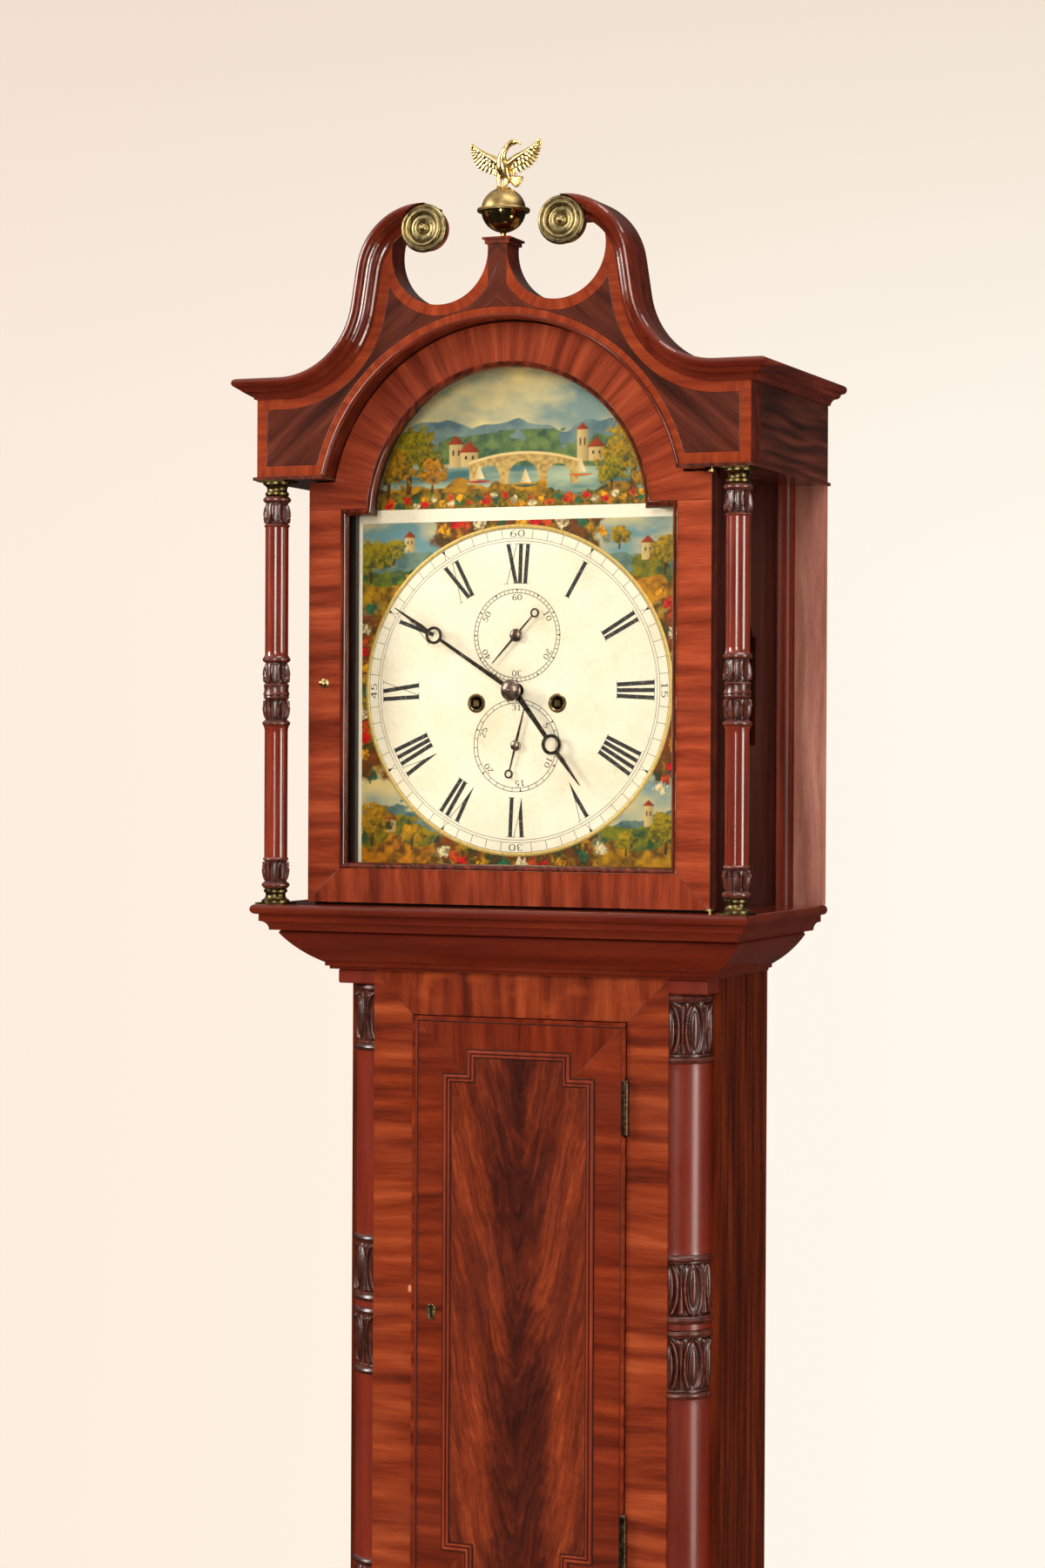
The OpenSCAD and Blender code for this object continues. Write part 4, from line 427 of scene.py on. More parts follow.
def movement_brass():
    """Polished plates, darkened round the two winding arbors as painted shade."""
    f, x, y, z = Finish("movement_brass").place()
    cloud = f.noise(x / 8, y / 8, z / 8, detail=5.0)
    # Painted shade: the plate is made dark and dull round the winding arbors, where the holes in the dial
    # show shadow.
    arbor_shade = 1 - f.rise(f.far(abs(x) - WINDING_X, z - DIAL_Z + WINDING_DROP), 11.0, 14.0)
    colour = f.ramp((cloud - 0.5) * 1.8 + 0.5,
                    [(146, 122, 76), (180, 152, 98), (202, 174, 118), (220, 196, 144)])
    shine = 0.3 + (cloud - 0.5) * 0.3 + arbor_shade * 0.4
    return f.done(f.blend(arbor_shade, colour, srgb(12, 10, 8)), shine, cloud, 0.03, 1 - arbor_shade)


def ball_brass():
    """Satin upper half, brighter lower half."""
    f, x, y, z = Finish("ball_brass").place()
    cloud = f.noise(x / 9, y / 9, z / 9, detail=5.0)
    lower = z < CAP_Z + 25.5
    colour = f.ramp((cloud - 0.5) * 1.6 + 0.5,
                    [(112, 92, 56), (150, 126, 82), (176, 150, 100), (200, 178, 130)])
    rough = 0.4 + (cloud - 0.5) * 0.3 - lower * 0.28
    return f.done(colour, rough, cloud, 0.05, 1.0)


def dial_paint():
    """Cream japanning with a fine crackle and faint stains."""
    f, x, y, z = Finish("dial_paint").place()
    spot = f.node("CombineXYZ", inputs=[x / 9 + f.noise(x / 5, 0.0, z / 5) * 0.6, 0.0, z / 9])
    crack = f.node("TexVoronoi", {"feature": "DISTANCE_TO_EDGE"}, {"Vector": spot, "Scale": 1.0})
    line = 1 - f.rise(crack, 0.0, 0.035)
    stain = f.noise(x / 45, 0.0, z / 45, detail=5.0)
    colour = f.ramp((stain - 0.5) * 1.5 + 0.5,
                    [(222, 211, 176), (236, 228, 200), (242, 236, 212), (246, 242, 224)])
    return f.done(f.shade(colour, 1 - line * 0.12), 0.34 + (stain - 0.5) * 0.2, 1 - line, 0.03, coat=0.2)


def ink(name, colours, rough=0.5, metallic=0.0, worn=0.0):
    """Paint of numerals and rings, thinner in places."""
    f, x, y, z = Finish(name).place()
    rub = f.noise(x / 3, 0.0, z / 3, detail=5.0)
    colour = f.ramp((rub - 0.5) * 1.4 + 0.5, colours)
    wear = f.rise(rub, 0.52, 0.66) * worn
    return f.done(f.blend(wear, colour, srgb(226, 216, 188)), rough + (rub - 0.5) * 0.2, rub, 0.02, metallic)


def picture_paint():
    """Oil paint laid by colour on the mesh, with brush marks and a soft varnish."""
    f, x, y, z = Finish("picture_paint").place()
    stroke = f.noise(x / 1.2, 0.0, z / 2.4, detail=3.0)
    colour = f.node("VertexColor", {"layer_name": "paint"})
    return f.done(f.shade(colour, 0.9 + stroke * 0.22), 0.36 + (stroke - 0.5) * 0.2, stroke, 0.05, coat=0.3)


def window_glass():
    """Old thin glass with faint smears."""
    f, x, y, z = Finish("window_glass").place()
    smear = f.noise(x / 50, y / 50, z / 28, detail=4.0)
    return f.done(srgb(24, 28, 26), 0.03 + smear * 0.04, smear, 0.05, Alpha=0.015 + smear * 0.02)


def gut_string():
    """Twisted gut of the two lines."""
    f, x, y, z = Finish("gut_string").place()
    twist = f.noise(x / 0.6, y / 0.6, z / 0.5 + x / 0.5, detail=2.0)
    return f.done(f.ramp(twist, [(120, 96, 56), (160, 132, 84), (190, 164, 112)]), 0.55, twist, 0.1)


WOOD_SIDE = plain_wood("side_wood", SIDE_WOOD, ribbon=12, gloss=0.26, coat=0.0, shine=0.06)
WOOD_MOULD = plain_wood("moulding_wood", MOULD_WOOD, grain="x", ribbon=14, contrast=0.5, gloss=0.15)
WOOD_BEAD = plain_wood("bead_wood", BEAD_WOOD, ribbon=9, contrast=0.6, gloss=0.42, coat=0.0, shine=0.1)
WOOD_NECK = plain_wood("neck_wood", MOULD_WOOD, grain="x", ribbon=16, contrast=0.6, gloss=0.11, coat=0.4)
WOOD_SHAFT = plain_wood("shaft_wood", SHAFT_WOOD, ribbon=8, contrast=0.6, gloss=0.2, coat=0.5, shine=0.5)
WOOD_MASK = plain_wood("mask_wood", [(16, 8, 6), (24, 12, 9), (34, 17, 12), (46, 24, 16)],
                       ribbon=8, gloss=0.4)
WOOD_OVOLO = plain_wood("ovolo_wood", [(40, 13, 9), (66, 23, 14), (90, 34, 20), (116, 48, 28)],
                        ribbon=6, gloss=0.12)
WOOD_QUARTER = plain_wood("quarter_wood", QUARTER_WOOD,
                          ribbon=12, contrast=0.45, gloss=0.3, coat=0.2, shine=0.5)
PINE = plain_wood("pine", SOFTWOOD, ribbon=10, gloss=0.6, coat=0.0)
CARVED = carved_wood()
BRASS = metal("brass", [(146, 122, 76), (180, 152, 98), (202, 174, 118), (220, 196, 144)], 0.28, spots=0.3)
AGED_BRASS = metal("aged_brass", [(96, 84, 56), (136, 120, 82), (168, 150, 106), (198, 180, 134)],
                   0.34, scale=5.0, spots=0.4)
CAP_BRASS = metal("cap_brass", [(56, 48, 30), (84, 72, 44), (112, 96, 60), (146, 128, 86)],
                  0.32, scale=5.0, spots=0.5)
GILT = metal("gilt", [(168, 136, 74), (206, 174, 106), (230, 202, 138), (246, 226, 176)], 0.26, scale=4.0)
STEEL = metal("steel", [(120, 122, 126), (150, 152, 156), (172, 174, 178), (192, 194, 198)], 0.3)
HINGE_BRONZE = metal("hinge_bronze", [(38, 28, 22), (62, 47, 36), (92, 72, 54), (128, 104, 80)],
                     0.36, scale=3.0)
HAND_STEEL = metal("hand_steel", [(58, 50, 44), (80, 70, 62), (106, 94, 84), (134, 120, 108)],
                   0.32, scale=4.0)
IRON = metal("weight_iron", [(34, 33, 34), (46, 45, 46), (58, 57, 57), (74, 70, 68)],
             0.55, 0.7, spots=0.3, depth=0.15)
DIAL_PAINT = dial_paint()
BLACK = ink("numeral_black", [(18, 18, 17), (26, 26, 24), (36, 34, 32), (48, 46, 42)], worn=0.12)
FAINT = ink("worn_hairline", [(72, 70, 60), (92, 89, 78), (116, 112, 98), (142, 136, 120)])
DOME_STEEL = metal("dome_steel", [(74, 60, 50), (104, 88, 76), (134, 116, 102), (164, 146, 130)],
                   0.3, 0.8, scale=5.0)
GOLD = ink("ring_gold", [(168, 138, 66), (196, 164, 86), (214, 184, 106), (226, 200, 128)], 0.45, 0.4)
CREAM = ink("border_cream", [(224, 214, 182), (236, 228, 202), (242, 236, 214), (246, 242, 226)])
PICTURE = picture_paint()
GUT = gut_string()

FINISHES = (
    (WOOD_MOULD, "plinth base_moulding throat_moulding hood_base"),
    (WOOD_SIDE, "trunk_sides"), (WOOD_NECK, "swan_necks"), (WOOD_MASK, "hood_mask"),
    (PINE, "backboard seatboard"), (base_veneer(), "base_box"),
    (trunk_frame_veneer(), "trunk_front_frame"), (trunk_door_veneer(), "trunk_door_board"),
    (hood_door_veneer(), "hood_door_frame"), (pediment_veneer(), "pediment_board"),
    (frieze_wood(), "hood_frieze"), (hood_side_wood(), "hood_sides"),
    (window_glass(), "side_glasses hood_door_glass"), (DIAL_PAINT, "dial_plate"),
    (HINGE_BRONZE, "trunk_hinge_leaves trunk_door_hinges"), (GUT, "upper_lines"),
    (AGED_BRASS, "bell rosettes"), (ball_brass(), "finial_ball"), (CAP_BRASS, "column_caps"),
    (movement_brass(), "movement_frame"), (IRON, "weight_going weight_strike"),
    (HAND_STEEL, "minute_hand hour_hand seconds_hand calendar_hand"),
    (STEEL, "lock_bolt anchor pendulum_rod hammer"),
    (BRASS, "hood_door_fittings trunk_door_lock centre_wheel minute_wheel third_wheel escape_wheel "
            "great_wheel_going great_wheel_strike barrel_going barrel_strike pulley_going pulley_strike "
            "pin_wheel locking_wheel warning_wheel fly pendulum_bob"),
)
for finish, names in FINISHES:
    for name in names.split():
        mesh = nodes[name].data
        mesh.materials.clear()
        mesh.materials.append(finish)



# Making pieces ----------------------------------------------------------------

class Stock:
    """Points and faces of a piece while it is being shaped, in millimetres."""

    def __init__(self):
        self.points, self.faces, self.count = [], [], 0

    def add(self, points, faces):
        points = np.asarray(points, float).reshape(-1, 3)
        self.faces += [[v + self.count for v in face] for face in faces]
        self.points.append(points)
        self.count += len(points)

    def rows(self, grid, around=False, closed=False, caps=False):
        """Skins a grid of points, row by row; around joins the last column to the first."""
        rows, cols = grid.shape[:2]
        faces = []
        for i in range(rows if closed else rows - 1):
            for j in range(cols if around else cols - 1):
                a, b, k = i * cols, ((i + 1) % rows) * cols, (j + 1) % cols
                faces.append([a + j, a + k, b + k, b + j])
        if caps:
            faces += [list(range(cols))[::-1], list(range((rows - 1) * cols, rows * cols))]
        self.add(grid, faces)


def piece(name, stock, finish, body, crisp=35, stands_for=()):
    """Makes the stock into a named piece that rides on a body."""
    mesh = bpy.data.meshes.new(name)
    mesh.from_pydata((np.concatenate(stock.points) * MM).tolist(), [], stock.faces)
    mesh.validate()
    mesh.shade_smooth()
    mesh.set_sharp_from_angle(angle=math.radians(crisp))
    mesh.materials.append(finish)
    made = bpy.data.objects.new(name, mesh)
    bpy.context.scene.collection.objects.link(made)
    if body:
        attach(made, body)
    if stands_for:
        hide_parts(*stands_for)
    return made


def turning(profile, centre, sides, carve=None, start=0.0, stop=360.0):
    """Lathe-turned skin about an upright line; carve adds to the radius from angle and height."""
    profile = np.asarray(profile, float)
    turn = np.radians(np.linspace(start, stop, sides + 1))
    t, h = np.meshgrid(turn, profile[:, 1])
    r = np.repeat(profile[:, :1], sides + 1, axis=1)
    if carve is not None:
        r = r + carve(t, h)
    return np.stack([centre[0] + r * np.cos(t), centre[1] + r * np.sin(t), h], axis=2)


def facing(profile, at, y, sides):
    """Turned skin about a line along the depth; the profile is (radius, height towards the front)."""
    profile = np.asarray(profile, float)
    t, h = np.meshgrid(np.radians(np.linspace(0, 360, sides + 1)), profile[:, 1])
    r = np.repeat(profile[:, :1], sides + 1, axis=1)
    return np.stack([at[0] + r * np.cos(t), y - h, at[1] + r * np.sin(t)], axis=2)


def bend(cx, cz, rx, rz, a0, a1, n):
    """Points on an ellipse, from one angle to another in degrees."""
    t = np.radians(np.linspace(a0, a1, n + 1))
    return np.stack([cx + rx * np.cos(t), cz + rz * np.sin(t)], axis=1)


def arc(cx, cz, r, a0, a1, n):
    return bend(cx, cz, r, r, a0, a1, n)


def moulding(path, profile, closed=False):
    """Runs a profile of (way to the left, depth) along a path in the X-Z plane, mitred at its corners."""
    path = np.asarray(path, float)
    ahead = np.roll(path, -1, 0) - path
    behind = path - np.roll(path, 1, 0)
    if not closed:
        ahead[-1], behind[0] = behind[-1], ahead[0]
    left = [np.stack([-d[:, 1], d[:, 0]], 1) / np.linalg.norm(d, axis=1)[:, None] for d in (behind, ahead)]
    mitre = (left[0] + left[1]) / (1 + np.sum(left[0] * left[1], axis=1))[:, None]
    grid = np.zeros((len(path), len(profile), 3))
    for j, (way, y) in enumerate(profile):
        spot = path + mitre * way
        grid[:, j] = np.stack([spot[:, 0], np.full(len(path), y), spot[:, 1]], 1)
    return grid


def half_round(centre, wide, face, proud, first=-10, last=190):
    """Profile of a bead: (way, depth) from one side of it to the other."""
    turns = [math.radians(a) for a in range(first, last + 1, 20)]
    return [(centre + wide * math.cos(a), face - proud * math.sin(a)) for a in turns]


def dark_collars(made, spans):
    """Gives the carved collars between the heights their own finish."""
    made.data.materials.append(CARVED)
    for face in made.data.polygons:
        z = face.center.z / MM
        face.material_index = 1 if any(low <= z <= high for low, high in spans) else 0


def skin(*grids, closed=False):
    """Stock made of one or more grids."""
    stock = Stock()
    for grid in grids:
        stock.rows(grid, closed=closed)
    return stock


def mirrored(grid):
    return grid * np.array([-1, 1, 1])


# Dial ---------------------------------------------------------------------------

class Pen:
    """Flat strokes of paint on the dial."""

    def __init__(self):
        self.stock = Stock()

    def ribbon(self, path, widths, place):
        path = np.asarray(path, float)
        way = np.gradient(path, axis=0)
        way /= np.maximum(np.linalg.norm(way, axis=1), 1e-9)[:, None]
        left = np.stack([-way[:, 1], way[:, 0]], 1) * (np.broadcast_to(widths, len(path)) / 2)[:, None]
        grid = np.stack([place(path - left), place(path + left)], axis=1)
        self.stock.rows(grid)

    def ring(self, centre, r0, r1, sides):
        t = np.linspace(0, 2 * math.pi, sides + 1)
        unit = np.stack([np.cos(t), np.sin(t)], 1)
        grid = np.stack([flat(np.array(centre) + unit * r) for r in (r0, r1)], axis=1)
        self.stock.rows(grid)


def flat(p):
    """Points of the dial's plane, counted from its centre, as places in the clock."""
    p = np.asarray(p, float)
    return np.stack([p[:, 0], np.full(len(p), PAINT), DIAL_Z + p[:, 1]], 1)


def on_ring(centre, clock_angle, radius):
    """Places a letter with its foot on a circle, upright towards the rim."""
    a = math.radians(clock_angle)
    out, way = np.array([math.sin(a), math.cos(a)]), np.array([math.cos(a), -math.sin(a)])
    return lambda p: flat(np.array(centre) + np.outer(radius + p[:, 1], out) + np.outer(p[:, 0], way))


def straight(a, b):
    return np.array([a, b])


# Skeletons of the figures in a box 0.6 wide and 1 high
FIGURES = {
    "0": [bend(0.3, 0.5, 0.26, 0.48, 0, 360, 28)],
    "1": [straight((0.1, 0.8), (0.3, 0.98)), straight((0.3, 1.0), (0.3, 0.0)),
          straight((0.12, 0.0), (0.48, 0.0))],
    "2": [np.concatenate([bend(0.28, 0.72, 0.22, 0.26, 165, -30, 14),
                          bend(0.62, -0.15, 0.55, 0.62, 118, 165, 8)]),
          straight((0.05, 0.03), (0.56, 0.03))],
    "3": [bend(0.28, 0.74, 0.2, 0.24, 160, -85, 14), bend(0.28, 0.27, 0.24, 0.26, 85, -160, 14)],
    "4": [straight((0.42, 1.0), (0.42, 0.0)), straight((0.42, 1.0), (0.03, 0.3)),
          straight((0.03, 0.3), (0.58, 0.3))],
    "5": [straight((0.14, 0.97), (0.52, 0.97)), straight((0.14, 0.97), (0.11, 0.52)),
          bend(0.27, 0.31, 0.24, 0.3, 130, -150, 16)],
    "6": [bend(0.42, 0.45, 0.36, 0.53, 75, 185, 12), bend(0.3, 0.28, 0.24, 0.28, 0, 360, 24)],
}


def figures(pen, word, centre, clock_angle, radius, height, wide, thick):
    """Writes figures with a broad nib, thick in their upright strokes."""
    thin = 0.4
    advance = 0.72 * height * wide
    start = -advance * len(word) / 2 + 0.06 * height * wide
    place = on_ring(centre, clock_angle, radius)
    for k, figure in enumerate(word):
        for path in FIGURES[figure]:
            path = np.asarray(path) * [height * wide, height] + [start + k * advance, 0]
            way = np.gradient(path, axis=0)
            upright = np.abs(way[:, 1]) / np.maximum(np.linalg.norm(way, axis=1), 1e-9)
            pen.ribbon(path, thin + (thick - thin) * upright ** 2, place)


def hours(bars, hairs):
    """Roman hours with their feet to the centre: one broad stroke to a letter, the rest hairlines."""
    foot, tall, bold, hair = 101.9, 37.5, 3.9, 0.62
    step = {"I": 6.3, "V": 10.8, "X": 11.8}
    shift = {"I": 0.0, "V": 3.0, "X": 3.0}
    reach = {"I": (2.0, 2.0), "V": (2.0, 8.2), "X": (3.1, 9.4)}
    joint = 0.42 * tall
    for hour, word in enumerate(["XII", "I", "II", "III", "IIII", "V", "VI", "VII", "VIII", "IX", "X", "XI"]):
        spots = np.cumsum([0.0] + [step[c] for c in word[:-1]])
        middle = (spots[-1] + reach[word[-1]][1] - reach[word[0]][0]) / 2
        for c, spot in zip(word, spots):
            place = on_ring((0, 0), hour * 30 + math.degrees((spot - middle + shift[c]) / 121), foot)
            if c == "I":
                bars.ribbon([(0, 0), (0, tall)], bold, place)
                serifs = [(-3.6, 3.6, 0), (-3.6, 3.6, tall)]
            elif c == "V":
                bars.ribbon([(-3, tall), (-2.2, joint), (-3.4, 0)], [bold, bold, 0.3], place)
                hairs.ribbon([(5.2, tall), (-0.8, joint)], hair, place)
                serifs = [(-6.6, 0.6, tall), (2.6, 7.6, tall)]
            else:
                bars.ribbon([(-3, tall), (3.4, 0)], bold, place)
                hairs.ribbon([(6.0, tall), (-6.1, 0)], hair, place)
                serifs = [(-6.6, 0.6, tall), (3.4, 8.4, tall), (0.0, 7.0, 0), (-8.6, -3.6, 0)]
            for x0, x1, z in serifs:
                hairs.ribbon([(x0, z), (x1, z)], 0.45, place)


MINUTE_R = 144.8
bars, hairs, fine, small = Pen(), Pen(), Pen(), Pen()
hours(bars, hairs)
for r in (142.2, MINUTE_R, 154.0):
    fine.ring((0, 0), r - 0.22, r + 0.22, 240)
for minute in range(60):
    place = on_ring((0, 0), minute * 6, MINUTE_R)
    if minute % 5:
        fine.ribbon([(0, 0), (0, 9.2)], 0.5, place)
    elif minute % 15:
        bars.ribbon([(0, 4.6), (0, 8.8)], [0.3, 3.0], place)
        for lean in (-2.2, 2.2):
            fine.ribbon([(lean * 0.1, 4.8), (lean, 0.2)], 0.4, place)
for minute, word in ((0, "60"), (15, "15"), (30, "30"), (45, "45")):
    figures(bars, word, (0, 0), minute * 6, 146.2, 6.4, 1.75, 1.15)
RIM, CELL = 44.0, 3.6
for centre, cells in ((SECONDS, 60), (CALENDAR, 31)):
    for r in (RIM, RIM - CELL):
        small.ring(centre, r - 0.28, r + 0.28, 140)
    for cell in range(cells):
        place = on_ring(centre, cell * 360 / cells, RIM - CELL)
        small.ribbon([(0, 0), (0, CELL)], 0.5, place)
        if cell % 5 == 0:
            bars.ribbon([(0, 1.0), (0, CELL)], [0.4, 2.0], place)
for k, word in enumerate(("60", "10", "20", "30", "40", "50")):
    figures(bars, word, SECONDS, k * 60, 33.4, 5.6, 1.3, 0.95)
for day in (31, 5, 10, 15, 20, 25):
    figures(bars, str(day), CALENDAR, day % 31 * 360 / 31, 33.4, 5.6, 1.3, 0.95)
for name, pen, paint in (("hour_numerals", bars, BLACK), ("numeral_hairlines", hairs, FAINT),
                         ("minute_lines", fine, FAINT), ("subdial_lines", small, BLACK)):
    piece(name, pen.stock, paint, "case")

gold = [(154.4, -0.1), (154.9, 0.18), (157.4, 0.18), (158.0, -0.1)]
piece("gold_ring", skin(facing(gold, (0, DIAL_Z), PAINT - 0.1, 240)), GOLD, "case")

DOME = [(0.25, 0.97), (0.5, 0.86), (0.75, 0.62), (0.93, 0.3)]
for name, drop, y, r, tall, body in (("centre_dome", 0, -72.3, 10.4, 4.2, "centre_arbor"),
                                     ("seconds_dome", SECONDS[1], -60.5, 6.2, 2.2, "escape_wheel"),
                                     ("calendar_dome", CALENDAR[1], -60.5, 5.0, 2.0, "calendar_wheel")):
    at = (0, DIAL_Z + drop)
    bulge = [(0.05, tall)] + [(r * u, tall * v) for u, v in DOME] + [(r, 0.0), (r - 0.6, -0.2)]
    dome = skin(facing(bulge, at, y, 48))
    if name == "centre_dome":
        tip = [(0.05, tall + 2.6), (1.2, tall + 2.3), (1.5, tall + 1.4), (1.3, tall - 0.2)]
        dome.rows(facing(tip, at, y, 20))
    piece(name, dome, DOME_STEEL, body)

BUSH = [(6.3, -0.6), (6.3, 0.5), (7.0, 1.1), (8.2, 1.1), (9.1, 0.4), (9.1, -0.1)]
bushes = skin(*[facing(BUSH, (x, DIAL_Z - WINDING_DROP), DIAL_Y, 48) for x in (-WINDING_X, WINDING_X)])
piece("winding_hole_rings", bushes, BRASS, "case")


class Canvas:
    """A painted panel: a fine mesh with a colour at each point."""

    def __init__(self, x0, x1, z0, z1, step, seed):
        self.x, self.z = np.meshgrid(np.arange(x0, x1 + step / 2, step), np.arange(z0, z1 + step / 2, step))
        self.paint = np.zeros(self.x.shape + (3,))
        self.seed = seed

    def cloud(self, size, layers=4, stretch=1.0):
        """Soft blotches from 0 to 1."""
        self.seed += 1
        rng = np.random.default_rng(self.seed)
        total, weight = np.zeros(self.x.shape), 0.0
        for k in range(layers):
            lattice = rng.random((96, 96))
            u = (self.x / (size * stretch) * 2 ** k + 40) % 95
            v = (self.z / size * 2 ** k + 40) % 95
            i, j = u.astype(int), v.astype(int)
            fu, fv = u - i, v - j
            fu, fv = fu * fu * (3 - 2 * fu), fv * fv * (3 - 2 * fv)
            low = lattice[j, i] * (1 - fu) + lattice[j, i + 1] * fu
            high = lattice[j + 1, i] * (1 - fu) + lattice[j + 1, i + 1] * fu
            total += (low * (1 - fv) + high * fv) * 0.55 ** k
            weight += 0.55 ** k
        return np.clip((total / weight - 0.5) * 2.2 + 0.5, 0, 1)

    def lay(self, mask, colour, deep=None, tone=None):
        """Lays a colour, shaded towards a deeper one by tone, where the mask is 1."""
        colour = np.array(srgb(*colour)[:3])
        if deep is not None:
            deep = np.array(srgb(*deep)[:3])
            colour = deep + (colour - deep) * np.clip(tone, 0, 1)[..., None]
        self.paint += np.clip(mask, 0, 1)[..., None] * (colour - self.paint)

    def soft(self, distance, blur=0.8):
        return np.clip(0.5 - distance / blur, 0, 1)

    def blob(self, cx, cz, rx, rz, ragged, size):
        distance = np.hypot((self.x - cx) / rx, (self.z - cz) / rz) - 1 + ragged * (self.cloud(size) - 0.5)
        return self.soft(distance * min(rx, rz))

    def ridge(self, height, ragged, size):
        return self.soft(self.z - height - ragged * (self.cloud(size, stretch=1.6) - 0.5))

    def panel(self, name, keep):
        """Makes the mesh of the cells to keep."""
        rows, cols = self.x.shape
        index = np.arange(rows * cols).reshape(rows, cols)
        cell = keep[:-1, :-1] & keep[1:, :-1] & keep[:-1, 1:] & keep[1:, 1:]
        corner = np.stack([index[:-1, :-1], index[:-1, 1:], index[1:, 1:], index[1:, :-1]], axis=2)[cell]
        used, renumbered = np.unique(corner, return_inverse=True)
        stock = Stock()
        depth = np.full(rows * cols, PAINT + 0.04)
        points = np.stack([self.x.ravel(), depth, DIAL_Z + self.z.ravel()], 1)[used]
        stock.add(points, renumbered.reshape(-1, 4).tolist())
        made = piece(name, stock, PICTURE, "case")
        layer = made.data.color_attributes.new("paint", "FLOAT_COLOR", "POINT")
        paint = self.paint.reshape(-1, 3)[used]
        grey = paint.mean(axis=1, keepdims=True)
        paint = np.clip(grey + (paint - grey) * 1.45, 0, 1) * 0.86
        colours = np.concatenate([paint, np.ones((len(used), 1))], axis=1)
        layer.data.foreach_set("color", colours.astype(np.float32).ravel())


def tree(c, x, z, size, warm):
    """A broad tree: trunk and ragged leaf masses, lit from the left."""
    trunk = c.soft(np.abs(c.x - x - (c.z - z) * 0.06) - size * 0.05)
    trunk = trunk * (c.z > z - size * 0.55) * (c.z < z + size * 0.2)
    c.lay(trunk, (96, 66, 38), (48, 32, 20), c.cloud(3))
    for dx, dz, r in ((0, 0.25, 0.42), (-0.3, 0.05, 0.3), (0.32, 0.08, 0.3),
                      (-0.12, 0.48, 0.26), (0.18, 0.42, 0.26)):
        leaf = c.blob(x + dx * size, z + dz * size, r * size, r * size * 0.8, 1.1, 4.0)
        light = c.cloud(3.0) * 0.7 + 0.45 * np.clip(((c.z - z) - (c.x - x) * 0.6) / size + 0.1, 0, 1)
        c.lay(leaf, (168 + warm, 150, 62), (28 + warm // 3, 50, 30), light)


def tower(c, x, z, w, h):
    """A small stone house or tower with a pitched roof."""
    wall = c.soft(np.abs(c.x - x) - w / 2) * c.soft(np.abs(c.z - z - h / 2) - h / 2)
    c.lay(wall, (206, 186, 142), (120, 100, 74), 0.75 - (c.x - x) / w * 0.7)
    above, pitch = c.z - z - h, w * 0.6
    gable = c.soft(np.abs(c.x - x) - (w * 0.62) * np.clip(1 - above / pitch, 0, 1))
    c.lay(gable * (c.z > z + h) * (c.z < z + h + pitch), (150, 74, 44), (90, 40, 28), 0.7 - (c.x - x) / w)
    for k in (-0.2, 0.2):
        pane = c.soft(np.abs(c.x - x - k * w) - w * 0.07) * c.soft(np.abs(c.z - z - h * 0.62) - h * 0.12)
        c.lay(pane, (50, 42, 38))


def vale(c, x0, x1, z0, z1, warm):
    """Sky, hills and a meadow in a rectangle."""
    ragged = (c.cloud(9) - 0.5) * 16
    inside = c.soft(84 - np.abs(c.x) + ragged, 9) * c.soft(82 - np.abs(c.z) + ragged, 9)
    inside = inside * (c.x * (x0 + x1) > 0) * (c.z * (z0 + z1) > 0)
    tall = z1 - z0
    haze = 0.25 + 0.9 * c.cloud(tall * 0.35, stretch=2) - 0.35 * (c.z - z0) / tall
    c.lay(inside, (236, 214, 160), (118, 146, 148), haze)
    for up, ragged, size, light, deep, blotch in ((0.62, 0.3, 30, (118, 134, 118), (70, 92, 92), 10),
                                                  (0.46, 0.25, 22, (120 + warm, 124, 60), (44, 70, 44), 8),
                                                  (0.28, 0.16, 16, (178 + warm, 142, 66), (92, 66, 34), 7)):
        c.lay(inside * c.ridge(z0 + tall * up, tall * ragged, size), light, deep, c.cloud(blotch))


FLOWERS = [(206, 62, 38), (232, 178, 78), (44, 104, 72), (238, 226, 188), (196, 98, 44)]


